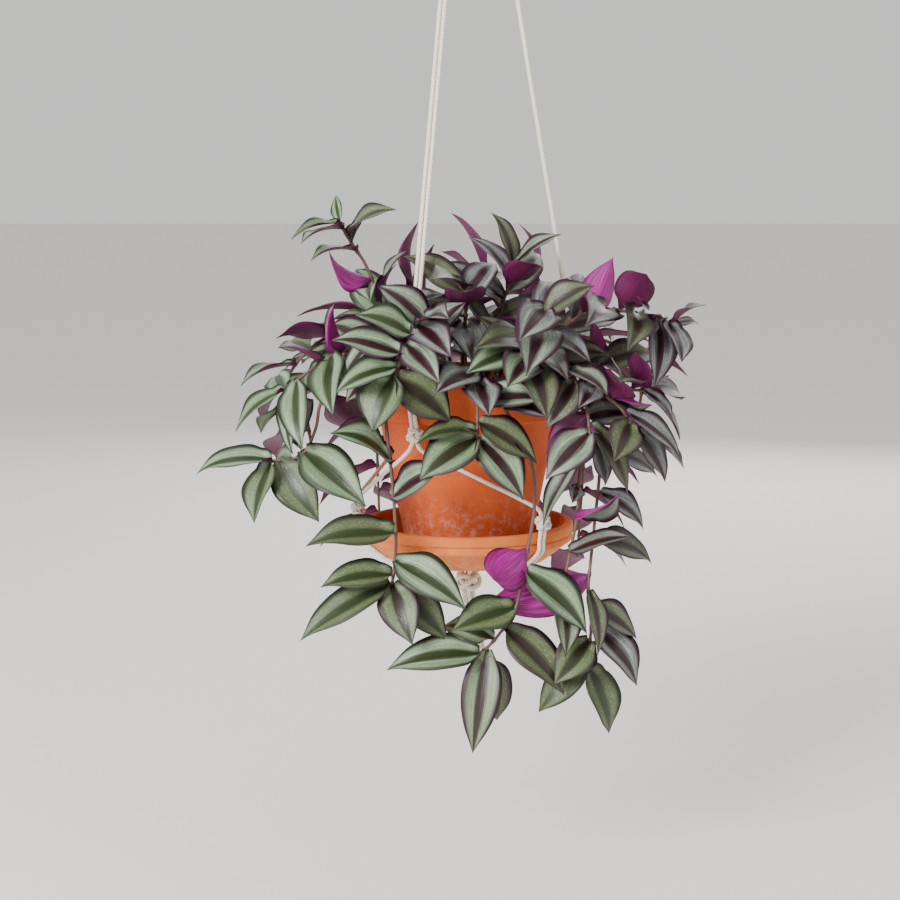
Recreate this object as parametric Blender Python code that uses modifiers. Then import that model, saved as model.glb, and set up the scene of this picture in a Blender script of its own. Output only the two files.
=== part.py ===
"""Inch plant (tradescantia) in a terracotta pot and saucer, hung in a knotted cotton cord hanger.

Lengths are in millimetres and are turned to metres where an object is made. The origin is the
hang eye, the inside top of the ring. The pot, the soil and the plant are set out from the
middle of the pot's rim, RIM_Z below it. +Z is up, +Y is the back and +X is the right side.
"""

import bmesh
import bpy
from math import cos, degrees, pi, radians, sin, sqrt
from mathutils import Matrix, Quaternion, Vector
from mathutils.bvhtree import BVHTree
from random import Random

MM = 0.001
GAP = 0.3
RIM_Z = -500.0

POT_RIM_R = 75.0
POT_HEIGHT = 128.7
POT_WALL = 6.0
COLLAR_HEIGHT = 31.0
COLLAR_FOOT_R = 71.0
BODY_TOP_R = 63.5
BODY_FOOT_R = 44.0
DRAIN_R = 6.0
SOIL_DEPTH = 12.0

SAUCER_RIM_R = 75.0
SAUCER_FOOT_R = 56.0
SAUCER_TOP = -107.0
SAUCER_FLOOR = -POT_HEIGHT - GAP
SAUCER_FOOT = -134.0
SAUCER_WALL = 5.5

RING_R = 17.0
RING_WIRE_R = 2.0
CORD_R = 1.5
STRAND_STEP = 3.5
BUNDLE_R = 3.9
WRAP_TOP = -40.0
WRAP_FOOT = -62.0

UPPER_KNOT = (71.5, -38.5)
LOWER_KNOT = (79.0, -99.0)
BOTTOM_KNOT_Z = -152.0
UPPER_AZIMUTHS = (-121.0, 4.0, 123.0)
LOWER_AZIMUTHS = (-50.0, 63.0, 183.0)
KNOT_WALL_R = 1.6
KNOT_SIZE = (3.9, 2.6, 5.0)
TAIL_LENGTHS = (66.0, 72.0, 61.0, 75.0, 69.0, 64.0)

TURNED_STEPS = 36


# ---------------------------------------------------------------- scene and materials

def clear_scene():
    for item in list(bpy.data.objects):
        bpy.data.objects.remove(item, do_unlink=True)


def material(name, colour, roughness):
    finish = bpy.data.materials.new(name)
    finish.use_nodes = True
    shader = finish.node_tree.nodes["Principled BSDF"]
    shader.inputs["Base Color"].default_value = (*colour, 1.0)
    shader.inputs["Roughness"].default_value = roughness
    shader.inputs["Metallic"].default_value = 0.0
    return finish


def add_object(name, data, finish):
    item = bpy.data.objects.new(name, data)
    data.materials.append(finish)
    PLANT.objects.link(item)
    return item


def mesh_object(name, shape, finish):
    data = bpy.data.meshes.new(name)
    bmesh.ops.scale(shape, vec=(MM, MM, MM), verts=shape.verts)
    bmesh.ops.recalc_face_normals(shape, faces=shape.faces)
    if shape.calc_volume(signed=True) < 0.0:
        bmesh.ops.reverse_faces(shape, faces=shape.faces)
    shape.to_mesh(data)
    shape.free()
    return add_object(name, data, finish)


# ---------------------------------------------------------------- turned clay and soil

def turned(name, profile, finish, closed):
    """A profile of (radius, height) points, outer side first and downwards, turned round Z."""
    data = bpy.data.meshes.new(name)
    points = [(r * MM, 0.0, (z + RIM_Z) * MM) for r, z in profile]
    edges = [(i, i + 1) for i in range(len(points) - 1)]
    if closed:
        edges.append((len(points) - 1, 0))
    data.from_pydata(points, edges, [])
    item = add_object(name, data, finish)
    screw = item.modifiers.new("turn", "SCREW")
    screw.steps = TURNED_STEPS
    screw.render_steps = TURNED_STEPS
    screw.use_merge_vertices = True
    screw.merge_threshold = 0.00001
    return item


def make_pot(finish):
    inner_rim = POT_RIM_R - POT_WALL
    inner_top = BODY_TOP_R - POT_WALL
    inner_foot = BODY_FOOT_R - POT_WALL
    profile = [
        (POT_RIM_R - 1.5, 0.0),
        (POT_RIM_R, -1.5),
        (COLLAR_FOOT_R, -COLLAR_HEIGHT),
        (BODY_TOP_R, -COLLAR_HEIGHT - 1.0),
        (BODY_FOOT_R, -POT_HEIGHT + 1.5),
        (BODY_FOOT_R - 1.5, -POT_HEIGHT),
        (DRAIN_R, -POT_HEIGHT),
        (DRAIN_R, -POT_HEIGHT + POT_WALL),
        (inner_foot, -POT_HEIGHT + POT_WALL),
        (inner_top, -COLLAR_HEIGHT - 5.0),
        (inner_rim - 2.0, -COLLAR_HEIGHT + 6.0),
        (inner_rim, -1.5),
        (inner_rim + 1.5, 0.0),
    ]
    return turned("pot", profile, finish, closed=True)


def make_soil(finish):
    inner_rim = POT_RIM_R - POT_WALL - 2.0 - GAP
    inner_top = BODY_TOP_R - POT_WALL - GAP
    inner_foot = BODY_FOOT_R - POT_WALL - GAP
    profile = [
        (0.0, -SOIL_DEPTH),
        (inner_rim - 12.0, -SOIL_DEPTH),
        (inner_rim, -SOIL_DEPTH - 2.0),
        (inner_rim, -COLLAR_HEIGHT + 6.0),
        (inner_top, -COLLAR_HEIGHT - 5.0),
        (inner_foot, -POT_HEIGHT + POT_WALL + GAP),
        (0.0, -POT_HEIGHT + POT_WALL + GAP),
    ]
    return turned("soil", profile, finish, closed=False)


def make_saucer(finish):
    lip = SAUCER_RIM_R
    profile = [
        (lip - 1.5, SAUCER_TOP),
        (lip, SAUCER_TOP - 1.5),
        (lip, SAUCER_TOP - 7.0),
        (lip - 1.5, SAUCER_TOP - 8.0),
        (lip - 0.5, SAUCER_TOP - 9.0),
        (lip - 0.5, SAUCER_TOP - 12.5),
        (lip - 2.5, SAUCER_TOP - 14.0),
        (SAUCER_FOOT_R, SAUCER_FOOT),
        (0.0, SAUCER_FOOT),
        (0.0, SAUCER_FLOOR),
        (SAUCER_FOOT_R, SAUCER_FLOOR),
        (lip - 1.5 - SAUCER_WALL, SAUCER_TOP - 9.0),
        (lip - SAUCER_WALL, SAUCER_TOP - 1.0),
        (lip - SAUCER_WALL + 1.0, SAUCER_TOP),
    ]
    return turned("saucer", profile, finish, closed=True)


# ---------------------------------------------------------------- curves

def smooth(points, steps):
    """A Catmull-Rom curve through the points, with this many steps to each span."""
    ends = [points[0] * 2 - points[1], *points, points[-1] * 2 - points[-2]]
    curve = []
    for a, b, c, d in zip(ends, ends[1:], ends[2:], ends[3:]):
        for step in range(steps):
            u = step / steps
            bend = (a * 2 - b * 5 + c * 4 - d) * u**2 + (b * 3 - a - c * 3 + d) * u**3
            curve.append((b * 2 + (c - a) * u + bend) * 0.5)
    return curve + [points[-1]]


def eased(points, steps):
    """A curve through the points that keeps its bends short where long and short spans meet."""
    chords = [(b - a).normalized() for a, b in zip(points, points[1:])]
    ahead = [chords[0], *((a + b).normalized() for a, b in zip(chords, chords[1:])), chords[-1]]
    curve = []
    for a, b, leave, arrive in zip(points, points[1:], ahead, ahead[1:]):
        span = (b - a).length
        for step in range(steps):
            u = step / steps
            curve.append(a * (2 * u**3 - 3 * u**2 + 1) + b * (3 * u**2 - 2 * u**3)
                         + leave * span * (u**3 - 2 * u**2 + u) + arrive * span * (u**3 - u**2))
    return curve + [points[-1]]


def polar(radius, azimuth, height, shift=0.0):
    """A point by radius, azimuth and height below the rim, moved sideways round the pot by shift."""
    out = Vector((cos(radians(azimuth)), sin(radians(azimuth)), 0.0))
    return out * radius + Vector((-out.y, out.x, 0.0)) * shift + Vector((0.0, 0.0, height + RIM_Z))


def thinned(line, least):
    """The line without the points where it turns less than this many degrees."""
    kept = [line[0]]
    for here, after in zip(line[1:], line[2:]):
        if degrees((here - kept[-1]).angle(after - here)) > least:
            kept.append(here)
    return kept + [line[-1]]


def rope(name, route, finish):
    line = thinned(eased(route, 3), 4.0)
    data = bpy.data.curves.new(name, "CURVE")
    data.dimensions = "3D"
    data.bevel_depth = CORD_R * MM
    data.bevel_resolution = 2
    data.use_fill_caps = True
    spline = data.splines.new("POLY")
    spline.points.add(len(line) - 1)
    for place, point in zip(spline.points, line):
        place.co = (*(point * MM), 1.0)
    return add_object(name, data, finish)


# ---------------------------------------------------------------- hanger

def wire_height(x):
    """The height of the middle of the ring's wire, near its foot."""
    return RING_WIRE_R - RING_R - sqrt(RING_R**2 - x**2)


def make_ring(finish):
    centre = Vector((0.0, 0.0, -(RING_R - RING_WIRE_R))) * MM
    bpy.ops.mesh.primitive_torus_add(
        major_segments=32, minor_segments=8, major_radius=RING_R * MM,
        minor_radius=RING_WIRE_R * MM, location=centre, rotation=(pi / 2, 0.0, 0.0))
    ring = bpy.context.object
    ring.name = "hang_ring"
    ring.data.name = "hang_ring"
    ring.data.materials.append(finish)
    for home in list(ring.users_collection):
        home.objects.unlink(ring)
    PLANT.objects.link(ring)
    return ring


def make_wrap(name, hole, wall, foot, top, finish):
    """A cord wound round a bundle, as a short tube."""
    shape = bmesh.new()
    outer = hole + wall
    rings = []
    for radius, height in ((outer, top - 1.0), (outer, foot + 1.0), (outer - 1.0, foot),
                           (hole, foot), (hole, top), (outer - 1.0, top)):
        rings.append([shape.verts.new((radius * cos(a), radius * sin(a), height))
                      for a in (2 * pi * i / 16 for i in range(16))])
    for first, second in zip(rings, rings[1:] + rings[:1]):
        for i in range(16):
            j = (i + 1) % 16
            shape.faces.new((first[i], first[j], second[j], second[i]))
    return mesh_object(name, shape, finish)


def make_knot(name, place, azimuth, size, finish):
    """A tightened knot round its strands: a thick ring, size being its hole and half height."""
    across, through, half = size
    shape = bmesh.new()
    for i in range(16):
        turn = 2 * pi * i / 16
        for j in range(6):
            lean = 2 * pi * j / 6
            grow = KNOT_WALL_R * (1.0 - cos(lean))
            shape.verts.new(((across + grow) * cos(turn), (through + grow) * sin(turn),
                             half * sin(lean)))
    shape.verts.ensure_lookup_table()
    for i in range(16):
        for j in range(6):
            a = i * 6 + j
            b = i * 6 + (j + 1) % 6
            c = (i + 1) % 16 * 6 + (j + 1) % 6
            d = (i + 1) % 16 * 6 + j
            shape.faces.new([shape.verts[k] for k in (a, d, c, b)])
    turned_round = Matrix.Translation(place) @ Matrix.Rotation(radians(azimuth + 90.0), 4, "Z")
    shape.transform(turned_round)
    return mesh_object(name, shape, finish)


# Each strand: where it lies in the gathering (column, row), then its upper and lower knots.
STRANDS = (
    (-1, -1, 0, 2, -1), (0, -1, 0, 0, 1),
    (1, -1, 1, 0, -1), (1, 1, 1, 1, 1),
    (0, 1, 2, 1, -1), (-1, 1, 2, 2, 1),
)


def strand_route(column, row, upper, lower, side, tail):
    """From the fold over the ring, down its pair, through three knots, to the tail's end."""
    x = column * STRAND_STEP
    wire = wire_height(x)
    fold = RING_WIRE_R + CORD_R + GAP
    half = STRAND_STEP / 2
    up = UPPER_AZIMUTHS[upper]
    low = LOWER_AZIMUTHS[lower]
    turn = (low - up + 180.0) % 360.0 - 180.0
    out = 1.0 if turn > 0 else -1.0
    here = side * half
    there = -out * half
    knot_r, knot_z = UPPER_KNOT
    low_r, low_z = LOWER_KNOT
    lean = low + there / half * 30.0
    floor = SAUCER_FOOT - CORD_R - GAP
    drift = Vector((7.0, -2.0, 0.0))
    end = BOTTOM_KNOT_Z - 8.0 - tail
    route = [
        Vector((x, row * 0.7, wire + fold)),
        Vector((x, row * fold * 0.707, wire + fold * 0.707)),
        Vector((x, row * fold, wire)),
        Vector((x, row * half, WRAP_TOP)),
        Vector((x, row * half, WRAP_TOP - 2 * CORD_R)),
        Vector((x, row * half, WRAP_FOOT)),
        Vector((x, row * half, WRAP_FOOT)).lerp(polar(POT_RIM_R + 2.2, up, 0.0, here), 0.03),
        Vector((x, row * half, WRAP_FOOT)).lerp(polar(POT_RIM_R + 2.2, up, 0.0, here), 0.5),
        Vector((x, row * half, WRAP_FOOT)).lerp(polar(POT_RIM_R + 2.2, up, 0.0, here), 0.97),
        polar(POT_RIM_R + 2.3, up, -4.0, here),
        polar(knot_r + 2.6, up, -27.0, here),
        polar(knot_r + 0.6, up, knot_z + 4.0, here),
        polar(knot_r, up, knot_z - 4.0, here),
        polar(knot_r, up + out * 1.5, knot_z - 9.0, here),
        polar(knot_r, up, knot_z - 9.0, here).lerp(polar(low_r, low, low_z + 9.0, there), 0.12),
        polar(knot_r, up, knot_z - 9.0, here).lerp(polar(low_r, low, low_z + 9.0, there), 0.5),
        polar(knot_r, up, knot_z - 9.0, here).lerp(polar(low_r, low, low_z + 9.0, there), 0.88),
        polar(low_r, low - out * 1.5, low_z + 9.0, there),
        polar(low_r, low, low_z + 4.0, there),
        polar(low_r - 0.2, low, low_z - 4.0, there),
        polar(SAUCER_RIM_R + 2.3, low, SAUCER_TOP - 5.0, there),
        polar(SAUCER_RIM_R + 1.8, low, SAUCER_TOP - 12.0, there),
        polar(SAUCER_RIM_R - 5.0, low, SAUCER_TOP - 19.0, there),
        polar(SAUCER_FOOT_R + 4.5, low, floor + 2.0, there),
        polar(SAUCER_FOOT_R + 0.8, low, floor - 0.2, there),
        polar(SAUCER_FOOT_R - 10.0, low, floor - 0.4, there),
        polar(20.0, (low + lean) / 2, floor - 2.5, there * 0.5),
        polar(9.0, lean, floor - 7.0),
        polar(BUNDLE_R + 0.2, lean, BOTTOM_KNOT_Z + 5.0),
        polar(BUNDLE_R + 0.1, lean, BOTTOM_KNOT_Z + 2.0),
        polar(BUNDLE_R, lean, BOTTOM_KNOT_Z - 8.0),
        polar(BUNDLE_R, lean + 8.0, BOTTOM_KNOT_Z - 28.0) + drift * 0.5,
        polar(BUNDLE_R + 0.2, lean + 18.0, BOTTOM_KNOT_Z - 50.0) + drift,
        polar(BUNDLE_R + 0.6, lean + 25.0, end) + drift * 1.2,
    ]
    return route


def make_hanger(ring_finish, cotton):
    make_ring(ring_finish)
    make_wrap("gathering_wrap", 6.2, 3.0, WRAP_FOOT, WRAP_TOP, cotton)
    for azimuth, side in zip(UPPER_AZIMUTHS, ("front", "right", "back")):
        make_knot(f"upper_knot_{side}", polar(UPPER_KNOT[0], azimuth, UPPER_KNOT[1]), azimuth,
                  KNOT_SIZE, cotton)
    for azimuth, side in zip(LOWER_AZIMUTHS, ("front", "back", "left")):
        make_knot(f"lower_knot_{side}", polar(LOWER_KNOT[0], azimuth, LOWER_KNOT[1]), azimuth,
                  KNOT_SIZE, cotton)
    make_knot("bottom_knot", polar(0.0, 0.0, BOTTOM_KNOT_Z), 0.0, (6.2, 6.2, 6.0), cotton)
    for i, (strand, tail) in enumerate(zip(STRANDS, TAIL_LENGTHS)):
        rope(f"cord_{i + 1}", strand_route(*strand, tail), cotton)


# ---------------------------------------------------------------- plant

STEM_R = 1.5
STEM_SIDES = 4
NODE_LENGTH = 2.6
BLADE_THICK = 1.1
BLADE_FOLD = 0.16
BLADE_RINGS = ((0.2, 0.86), (0.55, 0.92))

# Each vine: its route from the soil as (x, y, z) from the middle of the rim, then its leaves as
# (place along the route from 0 to 1, tip x, y, z, width, roll about its own length in degrees).
FRONT_VINES = {
    "vine_upright": (
        ((-33, -12, -11), (-52, -24, 25), (-69, -35, 72), (-80, -36, 90), (-89, -36, 106)),
        ((1.0, -121, -50, 95, 18, 0), (1.0, -92, -20, 124, 9, 0), (0.95, -112, -75, 92, 19, 0),
         (0.91, -50, -60, 115, 23, 0), (0.87, -76, -30, 121, 11, 0), (0.82, -106, -60, 74, 20, 0),
         (0.66, -82, -72, 66, 24, 150), (0.60, -27, -80, 58, 25, 0), (0.53, -51, -62, 90, 23, 0),
         (0.46, -92, 8, 52, 27, 0), (0.38, -25, -66, 46, 28, 0), (0.30, -88, -48, 44, 28, 0)),
    ),
    "vine_top": (
        ((10, 5, -11), (16, -8, 30), (27, -20, 58), (31, -26, 77)),
        ((1.0, 16, -30, 112, 21, 0), (1.0, 57, -45, 102, 20, 0), (0.94, 18, -72, 62, 23, 60),
         (0.89, 1, -22, 96, 20, 0), (0.83, 50, -66, 79, 24, 0), (0.77, 52, 18, 84, 24, 0),
         (0.70, -27, -12, 76, 23, 0), (0.61, 5, 38, 70, 24, 0), (0.52, 64, -14, 52, 26, 0),
         (0.43, -14, -62, 50, 28, 0), (0.34, 52, -58, 34, 28, 0)),
    ),
    "vine_crown_front": (
        ((25, -25, -11), (36, -52, 16), (46, -66, 36), (51, -72, 48)),
        ((1.0, 32, -112, 30, 30, 0), (1.0, 82, -88, 57, 24, 0), (0.92, 56, -38, 66, 24, 0),
         (0.84, 37, -117, 9, 34, 0), (0.75, 80, -96, 16, 28, 0), (0.66, 4, -102, 26, 28, 0),
         (0.56, 62, -114, -6, 27, 0), (0.45, 8, -62, 42, 26, 0)),
    ),
    "vine_crown_left": (
        ((-15, -30, -11), (-24, -54, 22), (-30, -72, 40), (-42, -90, 24), (-50, -98, 2)),
        ((1.0, -64, -110, -30, 36, 0), (1.0, -34, -122, -34, 36, 0), (0.93, -88, -108, -4, 26, 0),
         (0.85, -90, -100, 31, 27, 0), (0.79, -20, -123, 4, 25, 0), (0.72, -75, -95, 46, 27, 0),
         (0.65, 0, -108, 31, 28, 0), (0.58, -15, -112, 46, 26, 0), (0.51, -62, -66, 64, 26, 0),
         (0.43, -2, -60, 52, 26, 0), (0.34, -58, -88, 14, 28, 0)),
    ),
    "vine_crown_middle": (
        ((-5, -12, -11), (-4, -28, 22), (-2, -40, 46), (-4, -50, 62)),
        ((1.0, -26, -90, 70, 25, 0), (1.0, 20, -88, 66, 25, 0), (0.93, -44, -40, 84, 24, 0),
         (0.86, 26, -24, 80, 24, 0), (0.78, -2, -96, 52, 28, 0), (0.69, -46, -22, 58, 27, 0),
         (0.60, 34, -84, 34, 28, 0), (0.50, -46, -34, 30, 26, 0), (0.40, 20, -82, 12, 27, 0)),
    ),
    "vine_crown_low": (
        ((16, -32, -11), (26, -56, 12), (34, -74, 20), (40, -88, 14)),
        ((1.0, 52, -128, -12, 30, 0), (1.0, 20, -124, 12, 28, 0), (0.90, 78, -108, 2, 27, 0),
         (0.79, 4, -108, 2, 27, 0), (0.68, 66, -90, 24, 26, 0), (0.56, 0, -84, -2, 25, 0)),
    ),
    "vine_left": (
        ((-45, -15, -11), (-66, -28, 18), (-90, -44, 16), (-112, -52, 2), (-127, -52, -11)),
        ((1.0, -161, -50, -38, 24, 0), (1.0, -158, -30, -1, 22, 0), (0.95, -132, -72, -48, 17, 0),
         (0.89, -113, -84, -44, 25, 0), (0.72, -128, -68, 24, 28, 0), (0.63, -87, -90, -26, 29, 0),
         (0.53, -93, -58, 50, 29, 0), (0.43, -62, -84, 18, 27, 0), (0.33, -98, -2, 34, 27, 0)),
    ),
    "vine_left_low": (
        ((-40, -35, -11), (-58, -56, 12), (-76, -72, 3), (-98, -72, -12), (-104, -68, -34),
         (-114, -64, -52), (-136, -58, -57)),
        ((1.0, -187, -60, -63, 27, 0), (1.0, -134, -78, -98, 29, 0), (0.95, -103, -86, -92, 30, 0),
         (0.90, -152, -24, -76, 26, 0), (0.83, -69, -100, -80, 34, 0), (0.67, -142, -84, -26, 27, 0),
         (0.55, -116, -94, 6, 27, 0), (0.45, -58, -98, 26, 26, 0), (0.33, -90, -36, 8, 26, 0)),
    ),
    "vine_front_left": (
        ((-27, -38, -11), (-47, -59, 11), (-57, -82, 0), (-55, -93, -30), (-52, -96, -57),
         (-50, -96, -82), (-49, -96, -111), (-52, -95, -137)),
        ((1.0, -113, -110, -169, 29, 0), (1.0, -39, -125, -166, 28, 0), (1.0, -14, -100, -172, 27, 0),
         (0.96, -99, -106, -134, 26, 0), (0.91, -2, -118, -146, 30, 0), (0.82, -108, -112, -103, 29, 0),
         (0.70, -16, -117, -52, 31, 0), (0.58, -88, -117, -20, 35, 0), (0.30, -84, -90, -8, 27, 0),
         (0.20, -8, -84, 14, 25, 0)),
    ),
    "vine_front": (
        ((0, -40, -11), (2, -66, 12), (4, -90, 4), (5, -98, -12), (5, -100, -38)),
        ((1.0, -33, -126, -53, 34, 0), (1.0, 37, -124, -68, 31, 0), (0.94, -35, -112, -30, 25, 20),
         (0.88, 45, -108, -50, 27, 0), (0.74, 38, -124, 10, 28, 0), (0.64, 12, -130, -16, 27, 0), (0.56, -22, -122, -2, 28, 0),
         (0.45, 24, -104, 14, 26, 0)),
    ),
    "vine_front_long": (
        ((10, -42, -11), (14, -66, 11), (18, -88, 2), (24, -94, -18), (34, -96, -35), (42, -96, -58),
         (43, -96, -82), (40, -97, -103), (31, -98, -150), (20, -98, -168), (6, -98, -184)),
        ((1.0, -54, -116, -180, 29, 0), (1.0, 40, -124, -230, 34, 0), (1.0, 2, -116, -226, 15, 0),
         (0.97, -12, -108, -244, 27, 0), (0.94, -19, -82, -165, 26, 0), (0.90, 64, -112, -205, 31, 0),
         (0.84, -12, -120, -160, 29, 0), (0.74, 83, -125, -148, 33, 0), (0.68, 14, -126, -126, 32, 165),
         (0.29, 52, -112, -20, 24, 0), (0.12, 40, -84, 22, 26, 0)),
    ),
    "vine_right_front": (
        ((30, -35, -11), (48, -62, 13), (66, -86, 6), (76, -98, -14), (79, -104, -34)),
        ((1.0, 49, -126, -58, 29, 0), (1.0, 110, -112, -55, 27, 0), (1.0, 98, -124, -42, 15, 0),
         (0.94, 106, -92, -74, 26, 0), (0.88, 50, -100, -46, 22, 150), (0.68, 68, -122, -26, 25, 0),
         (0.59, 96, -116, -10, 27, 0), (0.49, 42, -108, 4, 26, 0), (0.38, 88, -78, 34, 26, 0)),
    ),
    "vine_right_trail": (
        ((38, -30, -11), (57, -56, 12), (72, -76, -2), (76, -86, -35), (73, -88, -67), (72, -88, -90),
         (66, -90, -121), (62, -92, -138)),
        ((1.0, 106, -112, -140, 31, 0), (1.0, 64, -112, -180, 22, 0), (0.88, 107, -110, -99, 20, 0),
         (0.74, 98, -116, -72, 27, 150), (0.67, 54, -108, -70, 18, 0), (0.56, 42, -98, -92, 16, 40),
         (0.45, 112, -80, -22, 26, 0), (0.35, 54, -104, -24, 24, 0), (0.26, 84, -60, 26, 26, 0)),
    ),
    "vine_right_long": (
        ((46, -18, -11), (66, -38, 12), (82, -60, -4), (88, -74, -50), (84, -80, -100), (80, -88, -140),
         (82, -92, -162), (79, -92, -193)),
        ((1.0, 77, -102, -240, 29, 0), (1.0, 110, -90, -212, 16, 0), (0.97, 46, -98, -222, 24, 0),
         (0.93, 58, -122, -192, 28, 0), (0.89, 118, -106, -197, 31, 0), (0.84, 117, -92, -168, 26, 0),
         (0.80, 86, -114, -178, 15, 0), (0.76, 28, -124, -164, 33, 165), (0.67, 126, -70, -124, 27, 0),
         (0.55, 118, -84, -98, 25, 0), (0.44, 130, -58, -66, 27, 0), (0.31, 122, -50, -28, 27, 0)),
    ),
    "vine_right_crown": (
        ((42, 2, -11), (62, -10, 26), (86, -26, 44), (114, -36, 43), (132, -40, 38), (141, -40, 34)),
        ((1.0, 161, -52, 50, 20, 0), (1.0, 165, -36, 36, 9, 0), (0.96, 139, -70, 8, 25, 0),
         (0.91, 124, -80, -4, 25, 0), (0.86, 117, -78, 46, 28, 0), (0.79, 100, -92, 16, 29, 0),
         (0.71, 120, -62, 72, 27, 0), (0.64, 78, -92, 40, 29, 0), (0.58, 100, -14, 80, 24, 170),
         (0.51, 62, -48, 66, 26, 0), (0.43, 76, 30, 62, 27, 0), (0.35, 108, 14, 36, 27, 0)),
    ),
    "vine_right": (
        ((48, -14, -11), (70, -34, 15), (95, -58, 4), (110, -64, -7), (123, -62, -6)),
        ((1.0, 160, -60, -15, 25, 0), (0.94, 136, -80, -24, 19, 0), (0.87, 106, -100, 16, 24, 0),
         (0.80, 78, -118, -24, 29, 0), (0.71, 100, -92, -34, 25, 160), (0.62, 132, -36, 14, 27, 0),
         (0.51, 60, -92, 32, 26, 0), (0.40, 112, -12, 4, 27, 0)),
    ),
    "vine_right_low": (
        ((36, -38, -11), (53, -60, 14), (79, -84, -1), (101, -91, -18), (109, -90, -34)),
        ((1.0, 131, -92, -66, 28, 0), (0.94, 94, -118, -48, 25, 0), (0.88, 146, -80, -40, 23, 0),
         (0.77, 90, -122, 2, 27, 0), (0.66, 62, -108, -30, 25, 0), (0.50, 96, -50, 22, 25, 0)),
    ),
}

# The vines round the back and sides: azimuth, degrees that it drifts round the pot, reach out
# from the middle, height of its crown over the rim, height where it ends, number of leaves.
ROUND_VINES = {
    "vine_side_right": (12, 6, 132, 22, -66, 9),
    "vine_back_right_low": (34, 8, 118, 16, -150, 11),
    "vine_back_right": (56, -4, 132, 30, -24, 8),
    "vine_back_long": (72, 2, 112, 18, -142, 10),
    "vine_back": (92, -2, 132, 26, -62, 9),
    "vine_back_low": (106, -3, 114, 16, -118, 9),
    "vine_back_left": (144, -2, 134, 28, -34, 8),
    "vine_back_left_low": (127, 0, 116, 18, -136, 10),
    "vine_side_left": (164, 4, 136, 24, -46, 8),
    "vine_side_left_low": (184, 4, 116, 14, -58, 7),
    "vine_crown_right": (30, 10, 62, 50, 54, 7),
    "vine_crown_back": (84, -10, 50, 60, 66, 8),
    "vine_crown_back_left": (128, 4, 60, 52, 56, 7),
    "vine_crown_side_left": (178, -12, 72, 42, 42, 7),
}
ROUND_START_R = 36.0
CROWN_START_R = 18.0
ROUND_LEAF = (50.0, 27.0)

# The turns that a leaf tries, about its base, until it is clear of everything already grown.
TURNS = ((0, 0), (0, 10), (0, -10), (12, 0), (-12, 0), (12, 10), (-12, 10), (12, -10), (-12, -10),
         (0, 20), (0, -20), (24, 0), (-24, 0), (24, 14), (-24, 14), (24, -14), (-24, -14), (0, 32),
         (0, -32), (36, 0), (-36, 0), (36, 22), (-36, 22), (36, -22), (-36, -22), (0, 46), (0, -46))
SIZES = (1.0, 0.86, 0.72)


def rim_point(x, y, z):
    return Vector((x, y, z + RIM_Z))


def round_route(azimuth, drift, reach, crown, end):
    """Up from the soil, over the rim and out, then down to the stem's end."""
    if end > 0.0:
        stops = ((CROWN_START_R, -11.0), (reach * 0.62, crown * 0.45), (reach * 0.86, crown * 0.85),
                 (reach, end))
    else:
        stops = ((ROUND_START_R, -11.0), (reach * 0.52, crown * 0.85), (reach * 0.76, crown * 0.9),
                 (reach * 0.93, crown * 0.2), (reach, -14.0), (reach - 2.0, (end - 14.0) / 2), (reach - 5.0, end))
    last = len(stops) - 1
    return [polar(r, azimuth + drift * i / last, z) for i, (r, z) in enumerate(stops)]


def along(line, share):
    """The point and the direction at a share of a line's length."""
    steps = [(b - a).length for a, b in zip(line, line[1:])]
    left = share * sum(steps)
    for a, b, step in zip(line, line[1:], steps):
        if left <= step:
            return a.lerp(b, left / step), (b - a).normalized()
        left -= step
    return line[-1], (line[-1] - line[-2]).normalized()


def round_leaves(line, count, chance):
    """Leaves that leave a stem to either side in turn, as they grow, for a vine with no list."""
    length, width = ROUND_LEAF
    rows = []
    for i in range(count):
        share = 0.3 + 0.7 * i / (count - 1)
        base, ahead = along(line, share)
        out = Vector((base.x, base.y, 0.0)).normalized()
        face = (out * 0.6 + Vector((0.0, 0.0, 0.8))).normalized()
        side = ahead.cross(face).normalized() * (1.0 if i % 2 else -1.0)
        aim = side * 0.75 + ahead * 0.45 + out * (0.25 + 0.3 * chance.random())
        aim.z += 0.35 * chance.random() - 0.15
        size = 0.85 + 0.25 * chance.random()
        tip = base + aim.normalized() * length * size
        rows.append((share, tip.x, tip.y, tip.z - RIM_Z, width * size, 24.0 * chance.random() - 12.0))
    return rows


def leaf_axes(base, tip, roll):
    """The leaf's length, the way its upper side faces, and its side."""
    span = tip - base
    out = Vector((base.x, base.y, 0.0)).normalized()
    light = out * 0.55 + Vector((0.0, -0.2, 0.8))
    face = light - span * light.dot(span) / span.length_squared
    face = face.normalized()
    face.rotate(Quaternion(span, radians(roll)))
    return span, face, span.cross(face).normalized()


def settled_tip(base, tip, roll, turn, size):
    """Where the tip comes when the leaf is turned sideways, lifted and sized about its base."""
    span, face, side = leaf_axes(base, tip, roll)
    yaw, lift = turn
    span.rotate(Quaternion(face, radians(yaw)))
    side.rotate(Quaternion(face, radians(yaw)))
    span.rotate(Quaternion(side, radians(lift)))
    return base + span * size


def blade_rings(base, tip, width, roll, spare):
    """One edge, underside, other edge and top of the blade at each ring, then the tip."""
    span, face, side = leaf_axes(base, tip, roll)
    arch = 0.14 + 0.05 * sin(0.9 * tip.x + 0.5 * tip.z)
    crest = (base + tip) / 2 + face * arch * span.length
    rings = []
    for share, fullness in BLADE_RINGS:
        middle = base.lerp(crest, share).lerp(crest.lerp(tip, share), share)
        half = width / 2 * fullness + spare
        thick = BLADE_THICK / 2 + spare
        edge = middle + face * half * BLADE_FOLD * 2
        rings.append([edge + side * half, middle - face * thick, edge - side * half,
                      middle + face * thick])
    return rings, tip


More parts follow.
